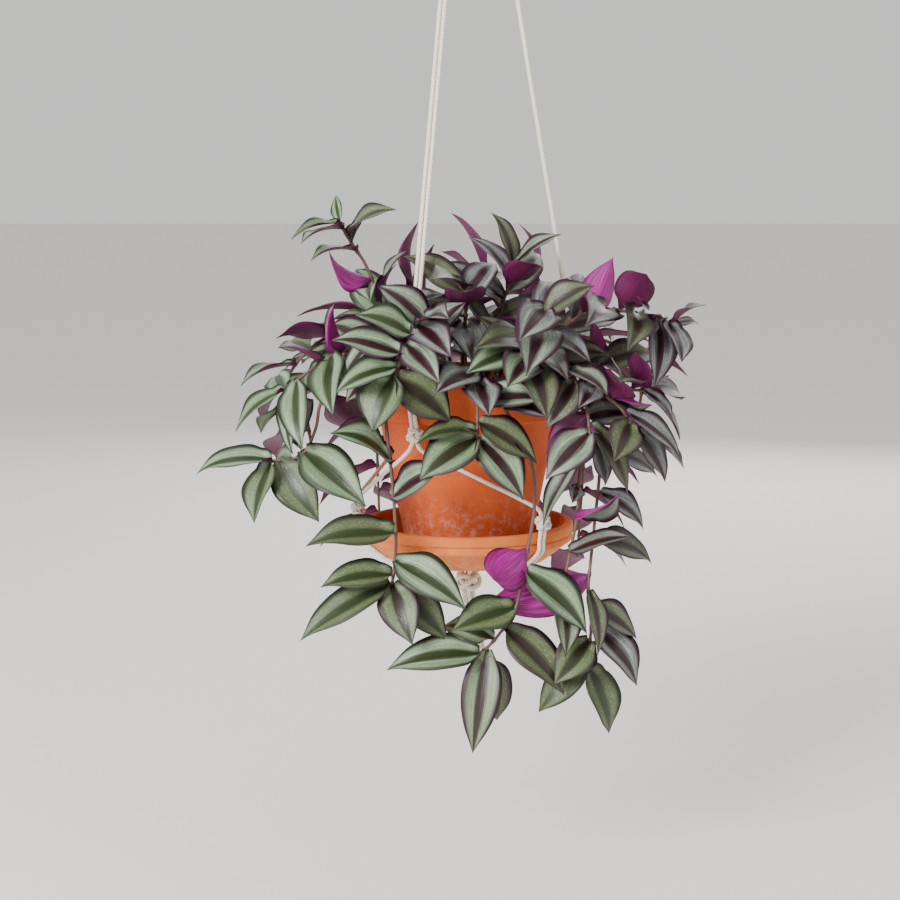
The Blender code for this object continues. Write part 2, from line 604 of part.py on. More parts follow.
def leaf_surface(quad, leaf, spare=0.0, lift=0.0):
    """Points and faces of a leaf, from the quad of the stem that it leaves, out to its tip.

    spare makes it fat and lift takes its foot off the stem, both to test its clearance.
    """
    rings, tip = blade_rings(*leaf, spare)
    middle = sum(quad, Vector()) / 4
    far = sum(rings[0], Vector()) / 4

    def likeness(shift):
        turned_ring = rings[0][shift:] + rings[0][:shift]
        return sum((q - middle).normalized().dot((r - far).normalized())
                   for q, r in zip(quad, turned_ring))

    shift = max(range(4), key=likeness)
    points = [q.lerp(far, lift) for q in quad]
    for ring in rings:
        points += ring[shift:] + ring[:shift]
    points.append(tip)
    faces = []
    for start in range(0, 4 * len(rings), 4):
        for i in range(4):
            j = (i + 1) % 4
            faces.append((start + i, start + j, start + 4 + j, start + 4 + i))
    top = 4 * len(rings)
    faces += [(top + i, top + (i + 1) % 4, top + 4) for i in range(4)]
    return points, faces


class Vine:
    """A stem from its route, its nodes, and the leaves that it carries."""

    def __init__(self, name, route, rows):
        self.name = name
        self.line = smooth(route, 5)
        self.length = sum((b - a).length for a, b in zip(self.line, self.line[1:]))
        self.rows = rows
        self.leaves = {}

    def stops(self):
        """The rings along the stem, as (distance, place of the node that starts there or None)."""
        rings = [(0.0, None)]
        last = -NODE_LENGTH
        for share in sorted({row[0] for row in self.rows}):
            start = min(share * self.length - NODE_LENGTH / 2, self.length - NODE_LENGTH - 0.4)
            start = max(start, last + NODE_LENGTH + 0.8)
            gap = start - rings[-1][0]
            for i in range(1, int(gap // 22.0) + 1):
                rings.append((rings[-1][0] + gap / (int(gap // 22.0) + 1), None))
            rings.append((start, share))
            rings.append((start + NODE_LENGTH, None))
            last = start
        if self.length > rings[-1][0] + 0.2:
            rings.append((self.length, None))
        return rings

    def frames(self, rings):
        """A point and two cross directions at each ring, carried along without twist."""
        across = Vector((0.31, 0.95, 0.0))
        places = []
        for distance, _ in rings:
            point, ahead = along(self.line, min(distance / self.length, 1.0))
            across = (across - ahead * across.dot(ahead)).normalized()
            places.append((point, across.copy(), ahead.cross(across)))
        return places

    def stem_points(self):
        rings = self.stops()
        points = []
        for point, across, over in self.frames(rings):
            for i in range(STEM_SIDES):
                turn = 2 * pi * (i + 0.5) / STEM_SIDES
                points.append(point + (across * cos(turn) + over * sin(turn)) * STEM_R)
        for foot in points[:STEM_SIDES]:
            foot.z = RIM_Z - SOIL_DEPTH + GAP
        return rings, points

    def stem_tree(self):
        rings, points = self.stem_points()
        faces = [self.quad(range(len(points)), i, j)
                 for i in range(len(rings) - 1) for j in range(STEM_SIDES)]
        return BVHTree.FromPolygons(points, faces)

    def place_leaves(self, grown):
        """Give each leaf a face of its node, and the first turn and size that are clear."""
        rings, points = self.stem_points()
        for i, (_, share) in enumerate(rings):
            if share is None:
                continue
            free = list(range(STEM_SIDES))
            centre = sum(points[i * STEM_SIDES:(i + 2) * STEM_SIDES], Vector()) / (2 * STEM_SIDES)
            for row in (row for row in self.rows if row[0] == share):
                tip = rim_point(*row[1:4])
                aim = tip - centre
                free.sort(key=lambda j: -sum(self.quad(points, i, j), Vector()).dot(aim))
                for side in free:
                    found = settle(self.quad(points, i, side), tip, row[4], row[5], grown)
                    if found:
                        self.leaves[(i, side)] = found
                        free.remove(side)
                        break
                else:
                    LEFT_OUT.append((self.name, share))

    def quad(self, points, i, j):
        """The corners of side j between ring i and the next, anticlockwise from outside."""
        k = (j + 1) % STEM_SIDES
        low, high = i * STEM_SIDES, (i + 1) * STEM_SIDES
        return [points[high + j], points[low + j], points[low + k], points[high + k]]

    def build(self, finish):
        rings, points = self.stem_points()
        shape = bmesh.new()
        corners = [shape.verts.new(p) for p in points]
        shape.faces.new(corners[:STEM_SIDES][::-1])
        shape.faces.new(corners[-STEM_SIDES:])
        for i in range(len(rings) - 1):
            for j in range(STEM_SIDES):
                quad = self.quad(corners, i, j)
                if (i, j) in self.leaves:
                    self.loft_leaf(shape, quad, self.leaves[(i, j)])
                else:
                    shape.faces.new(quad)
        return mesh_object(self.name, shape, finish)

    def loft_leaf(self, shape, quad, leaf):
        """Carry the open quad of the stem out through the blade's rings to its tip."""
        points, faces = leaf_surface([corner.co.copy() for corner in quad], leaf)
        corners = list(quad) + [shape.verts.new(p) for p in points[4:]]
        for face in faces:
            shape.faces.new([corners[i] for i in face])


def settle(quad, tip, width, roll, grown):
    base = sum(quad, Vector()) / 4
    for size in SIZES:
        for turn in TURNS:
            end = settled_tip(base, tip, roll, turn, size)
            leaf = (base, end, width * size, roll)
            tree = BVHTree.FromPolygons(*leaf_surface(quad, leaf, spare=0.5, lift=0.07))
            if not any(tree.overlap(other) for other in grown):
                grown.append(tree)
                return leaf
    return None


def surface_tree(item, graph):
    """An object's evaluated surface in millimetres, for the clearance test."""
    data = bpy.data.meshes.new_from_object(item.evaluated_get(graph))
    points = [item.matrix_world @ v.co / MM for v in data.vertices]
    tree = BVHTree.FromPolygons(points, [list(f.vertices) for f in data.polygons])
    bpy.data.meshes.remove(data)
    return tree


def make_plant(finish):
    vines = []
    for name, (route, rows) in FRONT_VINES.items():
        vines.append(Vine(name, [rim_point(*stop) for stop in route], rows))
    chance = Random(11)
    for name, (*course, count) in ROUND_VINES.items():
        route = round_route(*course)
        vines.append(Vine(name, route, round_leaves(smooth(route, 5), count, chance)))
    bpy.context.view_layer.update()
    graph = bpy.context.evaluated_depsgraph_get()
    grown = [surface_tree(item, graph) for item in PLANT.objects]
    grown += [vine.stem_tree() for vine in vines]
    for vine in vines:
        vine.place_leaves(grown)
    for vine in vines:
        vine.build(finish)


# The leaves that found no clear place, as (vine, place along it).
LEFT_OUT = []

clear_scene()
PLANT = bpy.data.collections.new("potted_tradescantia")
bpy.context.scene.collection.children.link(PLANT)
terracotta = material("terracotta", (0.58, 0.12, 0.03), 0.8)
pale_terracotta = material("pale_terracotta", (0.70, 0.26, 0.09), 0.8)
compost = material("compost", (0.04, 0.025, 0.015), 0.95)
cotton = material("cotton", (0.87, 0.80, 0.68), 0.9)
steel = material("ring_steel", (0.55, 0.55, 0.55), 0.35)
foliage = material("foliage", (0.22, 0.30, 0.17), 0.4)
make_pot(terracotta)
make_saucer(pale_terracotta)
make_soil(compost)
make_hanger(steel, cotton)
make_plant(foliage)
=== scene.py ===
"""The finished look of a potted inch plant in a knotted cotton cord hanger.

Shapes are worked out in millimetres, in the part's own frame, and turned to metres when their mesh
is made. The origin is the hang eye at the top of the ring.
"""

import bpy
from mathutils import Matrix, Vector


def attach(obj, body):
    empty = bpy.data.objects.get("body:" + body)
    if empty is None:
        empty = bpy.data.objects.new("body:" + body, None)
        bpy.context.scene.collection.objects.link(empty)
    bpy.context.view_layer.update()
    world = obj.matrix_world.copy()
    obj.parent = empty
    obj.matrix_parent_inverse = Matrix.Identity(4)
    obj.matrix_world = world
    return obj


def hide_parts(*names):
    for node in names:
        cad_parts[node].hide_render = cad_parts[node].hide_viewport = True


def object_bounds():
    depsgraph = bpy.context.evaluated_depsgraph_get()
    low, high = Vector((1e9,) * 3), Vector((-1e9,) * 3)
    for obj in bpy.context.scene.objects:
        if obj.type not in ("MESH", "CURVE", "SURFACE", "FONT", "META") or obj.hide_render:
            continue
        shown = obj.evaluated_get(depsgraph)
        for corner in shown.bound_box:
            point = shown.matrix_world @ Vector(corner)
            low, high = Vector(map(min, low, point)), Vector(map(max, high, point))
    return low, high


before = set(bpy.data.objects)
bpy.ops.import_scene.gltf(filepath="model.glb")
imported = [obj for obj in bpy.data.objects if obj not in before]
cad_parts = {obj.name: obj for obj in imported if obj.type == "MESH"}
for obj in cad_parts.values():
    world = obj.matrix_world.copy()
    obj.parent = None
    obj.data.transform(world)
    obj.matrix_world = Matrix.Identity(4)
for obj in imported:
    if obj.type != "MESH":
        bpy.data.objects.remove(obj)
cad_box = [list(corner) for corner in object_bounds()]

from math import cos, exp, pi, radians, sin, sqrt
from random import Random

import bpy
from mathutils import Matrix, Vector, noise


# ---- Camera and room
# A hanging plant is seen from a little above its pot. The room is a plain pale floor with large
# soft lamps, the brightest in front on the left, as by a window.

CAMERA_PLACE = Vector((-0.013, -1.29, -0.382))
CAMERA_AIM = Vector((-0.013, 0.0, -0.557))
CAMERA_LENS = 72.9
FLOOR_DROP = 0.10
FLOOR_HALF = 40.0
DAYLIGHT_STRENGTH = 0.85
# Each lamp: its place, its size in metres and its power in watts.
LAMPS = {
    "window_lamp": ((-1.3, -1.7, 0.35), 0.9, 84.0),
    "fill_lamp": ((1.6, -1.2, -0.3), 1.8, 8.0),
    "back_lamp": ((0.5, 1.8, 0.3), 1.6, 22.0),
}


def srgb(code):
    """A hex colour such as "C8501E", as linear red, green, blue and alpha."""
    parts = [int(code[i:i + 2], 16) / 255 for i in (0, 2, 4)]
    linear = [c / 12.92 if c <= 0.04045 else ((c + 0.055) / 1.055) ** 2.4 for c in parts]
    return (*linear, 1.0)


def add_node(tree, kind, inputs, **settings):
    """A node with its settings, each input a number or colour, or the socket that feeds it."""
    node = tree.nodes.new(kind)
    for name, value in settings.items():
        setattr(node, name, value)
    for name, value in inputs.items():
        if isinstance(value, bpy.types.NodeSocket):
            tree.links.new(value, node.inputs[name])
        else:
            node.inputs[name].default_value = value
    return node


def start_material(name, roughness):
    finish = bpy.data.materials.new(name)
    finish.use_nodes = True
    shader = finish.node_tree.nodes["Principled BSDF"]
    shader.inputs["Roughness"].default_value = roughness
    return finish, finish.node_tree, shader


def layered(tree, ground, layers):
    """A ground colour with others over it, each where its own mask is high.

    Each colour is a hex code or the socket that gives it.
    """
    colour = srgb(ground) if isinstance(ground, str) else ground
    for mask, coat in layers:
        over = srgb(coat) if isinstance(coat, str) else coat
        mix = add_node(tree, "ShaderNodeMix", {0: mask, 6: colour, 7: over}, data_type="RGBA")
        colour = mix.outputs[2]
    return colour


def look_from(item, place, aim):
    item.location = place
    item.rotation_euler = (Vector(aim) - Vector(place)).to_track_quat("-Z", "Y").to_euler()


for unused in ("Cube", "Light", "Camera"):
    if unused in bpy.data.objects:
        bpy.data.objects.remove(bpy.data.objects[unused], do_unlink=True)

lens = bpy.data.cameras.new("plant_camera")
lens.lens = CAMERA_LENS
camera = bpy.data.objects.new("plant_camera", lens)
look_from(camera, CAMERA_PLACE, CAMERA_AIM)
bpy.context.scene.collection.objects.link(camera)
bpy.context.scene.camera = camera

for name, (place, size, power) in LAMPS.items():
    light = bpy.data.lights.new(name, "AREA")
    light.size = size
    light.energy = power
    lamp = bpy.data.objects.new(name, light)
    look_from(lamp, place, CAMERA_AIM)
    bpy.context.scene.collection.objects.link(lamp)

room = bpy.context.scene.world or bpy.data.worlds.new("room")
bpy.context.scene.world = room
room.use_nodes = True
daylight = room.node_tree.nodes["Background"]
daylight.inputs["Color"].default_value = srgb("FBFAF8")
daylight.inputs["Strength"].default_value = DAYLIGHT_STRENGTH

paint, tree, shader = start_material("matt_floor_paint", 0.9)
grain = add_node(tree, "ShaderNodeTexNoise", {"Scale": 3.0})
shade = layered(tree, "F2F0EC", [(grain.outputs["Fac"], "ECE9E4")])
tree.links.new(shade, shader.inputs["Base Color"])
floor_z = cad_box[0][2] - FLOOR_DROP
floor_mesh = bpy.data.meshes.new("floor")
corners = [(x * FLOOR_HALF, y * FLOOR_HALF, floor_z) for x, y in ((-1, -1), (1, -1), (1, 1), (-1, 1))]
floor_mesh.from_pydata(corners, [], [(0, 1, 2, 3)])
floor_mesh.materials.append(paint)
floor = bpy.data.objects.new("floor", floor_mesh)
bpy.context.scene.collection.objects.link(floor)


# ---- Hanging cords
# Six strands of 3 mm cotton cord, three yarns laid round each other, folded over the ring in
# pairs. They run down past the pot, through the knots, and end cut off in a tail below the saucer.

MM = 0.001
# The height of the pot's rim, under the hang eye.
RIM_Z = -500.0
CORD_R = 1.5
CORD_SIDES = 15
CORD_STEP = 1.0
YARNS = 3
YARN_GROOVE = 0.34
LAY_LENGTH = 8.0
STRAND_STEP = 3.5
BUNDLE_R = 3.9
RING_R = 17.0
RING_WIRE_R = 2.0
WRAP_TOP = -40.0
WRAP_FOOT = -62.0
POT_RIM_R = 75.0
SAUCER_RIM_R = 75.0
SAUCER_FOOT_R = 56.0
SAUCER_TOP = -107.0
SAUCER_FOOT = -134.0
GAP = 0.3
UPPER_KNOT = (71.5, -38.5)
LOWER_KNOT = (79.0, -99.0)
BOTTOM_KNOT_Z = -152.0
UPPER_AZIMUTHS = (-121.0, 4.0, 123.0)
LOWER_AZIMUTHS = (-50.0, 63.0, 183.0)
TAIL_LENGTHS = (66.0, 72.0, 61.0, 75.0, 69.0, 64.0)
# Each strand: its column and row in the gathering, its upper and lower knots, and its side.
STRANDS = (
    (-1, -1, 0, 2, -1), (0, -1, 0, 0, 1),
    (1, -1, 1, 0, -1), (1, 1, 1, 1, 1),
    (0, 1, 2, 1, -1), (-1, 1, 2, 2, 1),
)


def per_mm(size):
    """The texture scale that gives a pattern of this size in millimetres."""
    return 1.0 / (size * MM)


def laid_cotton():
    """Cotton cord: matt and creamy, with painted shade down in the lay of the yarns, and fine fuzz."""
    finish, tree, shader = start_material("laid_cotton", 0.92)
    shader.inputs["Sheen Weight"].default_value = 0.25
    place = add_node(tree, "ShaderNodeTexCoord", {}).outputs["Object"]
    fibre = add_node(tree, "ShaderNodeTexNoise",
                     {"Vector": place, "Scale": per_mm(0.5), "Detail": 3.0})
    grubby = add_node(tree, "ShaderNodeTexNoise", {"Vector": place, "Scale": per_mm(18.0)})
    # Painted shade: the colour darkens down in the grooves between the yarns, where shade falls.
    groove_shade = add_node(tree, "ShaderNodeAttribute", {}, attribute_name="groove_shade")
    deep = add_node(tree, "ShaderNodeMath", {0: groove_shade.outputs["Fac"], 1: 0.95},
                    operation="MULTIPLY")
    faint = add_node(tree, "ShaderNodeMath", {0: grubby.outputs["Fac"], 1: 0.3},
                     operation="MULTIPLY")
    colour = layered(tree, "F3EADB", [(faint.outputs[0], "E2D2B8"),
                                      (fibre.outputs["Fac"], "F8F1E6"),
                                      (deep.outputs[0], "A08A68")])
    tree.links.new(colour, shader.inputs["Base Color"])
    fuzz = add_node(tree, "ShaderNodeBump", {"Height": fibre.outputs["Fac"], "Strength": 0.5,
                                             "Distance": 0.0003})
    tree.links.new(fuzz.outputs["Normal"], shader.inputs["Normal"])
    return finish


def smooth(points, steps):
    """A Catmull-Rom curve through the points, with this many steps to each span."""
    ends = [points[0] * 2 - points[1], *points, points[-1] * 2 - points[-2]]
    curve = []
    for a, b, c, d in zip(ends, ends[1:], ends[2:], ends[3:]):
        for step in range(steps):
            u = step / steps
            bend = (a * 2 - b * 5 + c * 4 - d) * u**2 + (b * 3 - a - c * 3 + d) * u**3
            curve.append((b * 2 + (c - a) * u + bend) * 0.5)
    return curve + [points[-1]]


def eased(points, steps):
    """A curve through the points that keeps its bends short where long and short spans meet."""
    chords = [(b - a).normalized() for a, b in zip(points, points[1:])]
    ahead = [chords[0], *((a + b).normalized() for a, b in zip(chords, chords[1:])), chords[-1]]
    curve = []
    for a, b, leave, arrive in zip(points, points[1:], ahead, ahead[1:]):
        span = (b - a).length
        for step in range(steps):
            u = step / steps
            curve.append(a * (2 * u**3 - 3 * u**2 + 1) + b * (3 * u**2 - 2 * u**3)
                         + leave * span * (u**3 - 2 * u**2 + u) + arrive * span * (u**3 - u**2))
    return curve + [points[-1]]


def evenly(line, step):
    """Points one step apart along a line, and its last point."""
    points = [line[0]]
    left = step
    for a, b in zip(line, line[1:]):
        span = (b - a).length
        while span > 0.0 and left <= span:
            points.append(a.lerp(b, left / span))
            left += step
        left -= span
    if (points[-1] - line[-1]).length > step * 0.3:
        points.append(line[-1])
    return points


def length_of(line):
    return sum((b - a).length for a, b in zip(line, line[1:]))


def cross_frames(line, closed=False):
    """Two cross directions at each point, carried along without twist."""
    across = Vector((0.31, 0.95, 0.05))
    frames = []
    for i in range(len(line)):
        before = line[i - 1] if i or closed else line[0]
        after = line[(i + 1) % len(line)] if i + 1 < len(line) or closed else line[-1]
        ahead = (after - before).normalized()
        across = (across - ahead * across.dot(ahead)).normalized()
        frames.append((across.copy(), ahead.cross(across)))
    return frames


def laid_rope(line, radius, closed=False):
    """Points, faces and groove depths of yarns laid round each other along a line."""
    points, faces, grooves = [], [], []
    count = len(line)
    whole = length_of(line + line[:1] if closed else line)
    turns = max(1, round(whole / LAY_LENGTH)) if closed else whole / LAY_LENGTH
    for i, (centre, (across, over)) in enumerate(zip(line, cross_frames(line, closed))):
        twist = 2 * pi * turns * i / (count if closed else count - 1)
        for j in range(CORD_SIDES):
            turn = 2 * pi * j / CORD_SIDES
            rise = sqrt(abs(cos((turn - twist) * YARNS / 2)))
            reach = radius * (1.0 - YARN_GROOVE + YARN_GROOVE * rise)
            points.append(centre + (across * cos(turn) + over * sin(turn)) * reach)
            grooves.append(1.0 - rise)
    for i in range(count if closed else count - 1):
        for j in range(CORD_SIDES):
            k = (j + 1) % CORD_SIDES
            low, high = i * CORD_SIDES, (i + 1) % count * CORD_SIDES
            faces.append((low + j, low + k, high + k, high + j))
    if not closed:
        faces.append(tuple(range(CORD_SIDES))[::-1])
        faces.append(tuple(range((count - 1) * CORD_SIDES, count * CORD_SIDES)))
    return points, faces, grooves


def add_piece(name, points, faces, finishes, marks=None, shares=None):
    """A smooth mesh piece in metres, with its finishes and any named numbers at its points."""
    data = bpy.data.meshes.new(name)
    data.from_pydata([point * MM for point in points], [], faces)
    for finish in finishes:
        data.materials.append(finish)
    for mark, values in (marks or {}).items():
        data.attributes.new(mark, "FLOAT", "POINT").data.foreach_set("value", values)
    for face, which in zip(data.polygons, shares or [0] * len(faces)):
        face.material_index = which
        face.use_smooth = True
    data.update()
    piece = bpy.data.objects.new(name, data)
    bpy.context.scene.collection.objects.link(piece)
    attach(piece, "root")
    return piece


def polar(radius, azimuth, height, shift=0.0):
    """A point by radius, azimuth and height below the rim, moved sideways round the pot by shift."""
    out = Vector((cos(radians(azimuth)), sin(radians(azimuth)), 0.0))
    return out * radius + Vector((-out.y, out.x, 0.0)) * shift + Vector((0.0, 0.0, height + RIM_Z))


def strand_route(column, row, upper, lower, side, tail):
    """From the fold over the ring, down its pair, through three knots, to the tail's end."""
    x = column * STRAND_STEP
    wire = RING_WIRE_R - RING_R - sqrt(RING_R**2 - x**2)
    fold = RING_WIRE_R + CORD_R + GAP
    half = STRAND_STEP / 2
    up = UPPER_AZIMUTHS[upper]
    low = LOWER_AZIMUTHS[lower]
    turn = (low - up + 180.0) % 360.0 - 180.0
    out = 1.0 if turn > 0 else -1.0
    here = side * half
    there = -out * half
    knot_r, knot_z = UPPER_KNOT
    low_r, low_z = LOWER_KNOT
    lean = low + there / half * 30.0
    floor = SAUCER_FOOT - CORD_R - GAP
    drift = Vector((7.0, -2.0, 0.0))
    end = BOTTOM_KNOT_Z - 8.0 - tail
    gathered = Vector((x, row * half, WRAP_FOOT))
    at_rim = polar(POT_RIM_R + 2.2, up, 0.0, here)
    under_upper = polar(knot_r, up, knot_z - 9.0, here)
    over_lower = polar(low_r, low, low_z + 9.0, there)
    return [
        Vector((x, row * 0.7, wire + fold)),
        Vector((x, row * fold * 0.707, wire + fold * 0.707)),
        Vector((x, row * fold, wire)),
        Vector((x, row * half, WRAP_TOP)),
        Vector((x, row * half, WRAP_TOP - 2 * CORD_R)),
        gathered,
        gathered.lerp(at_rim, 0.03),
        gathered.lerp(at_rim, 0.5),
        gathered.lerp(at_rim, 0.97),
        polar(POT_RIM_R + 2.3, up, -4.0, here),
        polar(knot_r + 2.6, up, -27.0, here),
        polar(knot_r + 0.6, up, knot_z + 4.0, here),
        polar(knot_r, up, knot_z - 4.0, here),
        polar(knot_r, up + out * 1.5, knot_z - 9.0, here),
        under_upper.lerp(over_lower, 0.12),
        under_upper.lerp(over_lower, 0.5),
        under_upper.lerp(over_lower, 0.88),
        polar(low_r, low - out * 1.5, low_z + 9.0, there),
        polar(low_r, low, low_z + 4.0, there),
        polar(low_r - 0.2, low, low_z - 4.0, there),
        polar(SAUCER_RIM_R + 2.3, low, SAUCER_TOP - 5.0, there),
        polar(SAUCER_RIM_R + 1.8, low, SAUCER_TOP - 12.0, there),
        polar(SAUCER_RIM_R - 5.0, low, SAUCER_TOP - 19.0, there),
        polar(SAUCER_FOOT_R + 4.5, low, floor + 2.0, there),
        polar(SAUCER_FOOT_R + 0.8, low, floor - 0.2, there),
        polar(SAUCER_FOOT_R - 10.0, low, floor - 0.4, there),
        polar(20.0, (low + lean) / 2, floor - 2.5, there * 0.5),
        polar(9.0, lean, floor - 7.0),
        polar(BUNDLE_R + 0.2, lean, BOTTOM_KNOT_Z + 5.0),
        polar(BUNDLE_R + 0.1, lean, BOTTOM_KNOT_Z + 2.0),
        polar(BUNDLE_R, lean, BOTTOM_KNOT_Z - 8.0),
        polar(BUNDLE_R, lean + 8.0, BOTTOM_KNOT_Z - 28.0) + drift * 0.5,
        polar(BUNDLE_R + 0.2, lean + 18.0, BOTTOM_KNOT_Z - 50.0) + drift,
        polar(BUNDLE_R + 0.6, lean + 25.0, end) + drift * 1.2,
    ]


cotton = laid_cotton()
for i, (strand, tail) in enumerate(zip(STRANDS, TAIL_LENGTHS)):
    course = evenly(eased(strand_route(*strand, tail), 10), CORD_STEP)
    points, faces, grooves = laid_rope(course, CORD_R)
    cord = add_piece(f"cotton_cord_{i + 1}", points, faces, [cotton], {"groove_shade": grooves})
    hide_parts(f"cord_{i + 1}")


# ---- Hanging ring
# A welded steel ring of 4 mm wire, plated with nickel, that goes on the hook. The cords are
# folded over its foot.

RING_STEPS = 96
WIRE_SIDES = 20


def nickel_plate():
    """Nickel plate: a warm grey mirror, with fine handling scratches that blur it."""
    finish, tree, shader = start_material("nickel_plated_steel", 0.3)
    shader.inputs["Metallic"].default_value = 1.0
    place = add_node(tree, "ShaderNodeTexCoord", {}).outputs["Object"]
    wear = add_node(tree, "ShaderNodeTexNoise", {"Vector": place, "Scale": per_mm(3.0),
                                                 "Detail": 5.0})
    colour = layered(tree, "B9B4AA", [(wear.outputs["Fac"], "CFCBC3")])
    tree.links.new(colour, shader.inputs["Base Color"])
    rough = add_node(tree, "ShaderNodeMapRange", {"Value": wear.outputs["Fac"],
                                                  "To Min": 0.18, "To Max": 0.42})
    tree.links.new(rough.outputs["Result"], shader.inputs["Roughness"])
    return finish


def grid_faces(rows, columns, first=0, wrap_rows=True):
    """Quads that join rows of points, each row a closed loop of columns."""
    faces = []
    for i in range(rows if wrap_rows else rows - 1):
        for j in range(columns):
            k = (j + 1) % columns
            low, high = first + i * columns, first + (i + 1) % rows * columns
            faces.append((low + j, high + j, high + k, low + k))
    return faces


points = []
for i in range(RING_STEPS):
    turn = 2 * pi * i / RING_STEPS
    out = Vector((cos(turn), 0.0, sin(turn)))
    centre = out * RING_R + Vector((0.0, 0.0, RING_WIRE_R - RING_R))
    for j in range(WIRE_SIDES):
        lean = 2 * pi * j / WIRE_SIDES
        points.append(centre + (out * cos(lean) + Vector((0.0, sin(lean), 0.0))) * RING_WIRE_R)
faces = [face[::-1] for face in grid_faces(RING_STEPS, WIRE_SIDES)]
steel_ring = add_piece("plated_ring", points, faces, [nickel_plate()])
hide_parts("hang_ring")


# ---- Gathering wrap
# More of the same cord, wound tightly round the six strands under the ring, turn on turn, with
# its two ends tucked in behind the winding.

WINDING_R = 7.6
WINDING_PITCH = 3.0
TUCKED_R = 6.2
# An end is fully up from its tuck after one TUCK_RATE-th of a turn.
TUCK_RATE = 3.0
WINDING_STEPS = 48

turns = (WRAP_TOP - WRAP_FOOT - 2 * CORD_R) / WINDING_PITCH
line = []
for i in range(int(turns * WINDING_STEPS) + 1):
    turn = i / WINDING_STEPS
    tuck = min(1.0, turn * TUCK_RATE, (turns - turn) * TUCK_RATE)
    radius = TUCKED_R + (WINDING_R - TUCKED_R) * tuck
    line.append(Vector((radius * cos(2 * pi * turn), radius * sin(2 * pi * turn),
                        WRAP_TOP - CORD_R - turn * WINDING_PITCH)))
points, faces, grooves = laid_rope(line, CORD_R)
winding = add_piece("wound_gathering", points, faces, [cotton], {"groove_shade": grooves})
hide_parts("gathering_wrap")


# ---- Knots
# Overhand knots, each pair of strands turned twice round itself and pulled tight. The last one
# takes all six strands, three turns round them, under the saucer.

KNOT_STEPS = 150
KNOT_CORD_R = 1.8
# Half width, half depth and half height of a knot's middle line, and how far its turns lie apart.
PAIR_KNOT = (3.7, 2.9, 3.3, 1.2)
TAIL_KNOT = (7.0, 7.0, 4.6, 1.3)


def knot_line(place, azimuth, size, turns, waves):
    """The closed middle line of a torus knot that stands in for the tightened knot."""
    wide, deep, tall, apart = size
    stand = Matrix.Translation(place) @ Matrix.Rotation(radians(azimuth + 90.0), 4, "Z")
    line = []
    for i in range(KNOT_STEPS):
        t = 2 * pi * i / KNOT_STEPS
        spread = apart * cos(waves * t)
        line.append(stand @ Vector(((wide + spread) * cos(turns * t),
                                    (deep + spread) * sin(turns * t), tall * sin(waves * t))))
    return line


def tie_knot(name, node, line):
    points, faces, grooves = laid_rope(line, KNOT_CORD_R, closed=True)
    knot = add_piece(name, points, faces, [cotton], {"groove_shade": grooves})
    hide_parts(node)


for azimuth, side in zip(UPPER_AZIMUTHS, ("front", "right", "back")):
    line = knot_line(polar(UPPER_KNOT[0], azimuth, UPPER_KNOT[1]), azimuth, PAIR_KNOT, 2, 3)
    tie_knot(f"collar_knot_{side}", f"upper_knot_{side}", line)
for azimuth, side in zip(LOWER_AZIMUTHS, ("front", "back", "left")):
    line = knot_line(polar(LOWER_KNOT[0], azimuth, LOWER_KNOT[1]), azimuth, PAIR_KNOT, 2, 3)
    tie_knot(f"saucer_knot_{side}", f"lower_knot_{side}", line)
tie_knot("tail_knot", "bottom_knot",
         knot_line(polar(0.0, 0.0, BOTTOM_KNOT_Z), 0.0, TAIL_KNOT, 3, 4))


# ---- Pot
# A thrown terracotta pot with a thick collar and one drainage hole, fired and left unglazed, so
# hard water has dried to a white bloom near its foot.

POT_HEIGHT = 128.7
POT_WALL = 6.0
COLLAR_HEIGHT = 31.0
COLLAR_FOOT_R = 71.0
BODY_TOP_R = 63.5
BODY_FOOT_R = 44.0
DRAIN_R = 6.0
CLAY_STEPS = 144
CLAY_WOBBLE = 0.22
# The wobble is smooth noise, read along a circle of this radius in it, and one step up for each
# WOBBLE_HEIGHT. It fades out nearer the middle than FAIR_R.
WOBBLE_CIRCLE = 1.4
WOBBLE_HEIGHT = 30.0
FAIR_R = 20.0
ARC_STEPS = 4


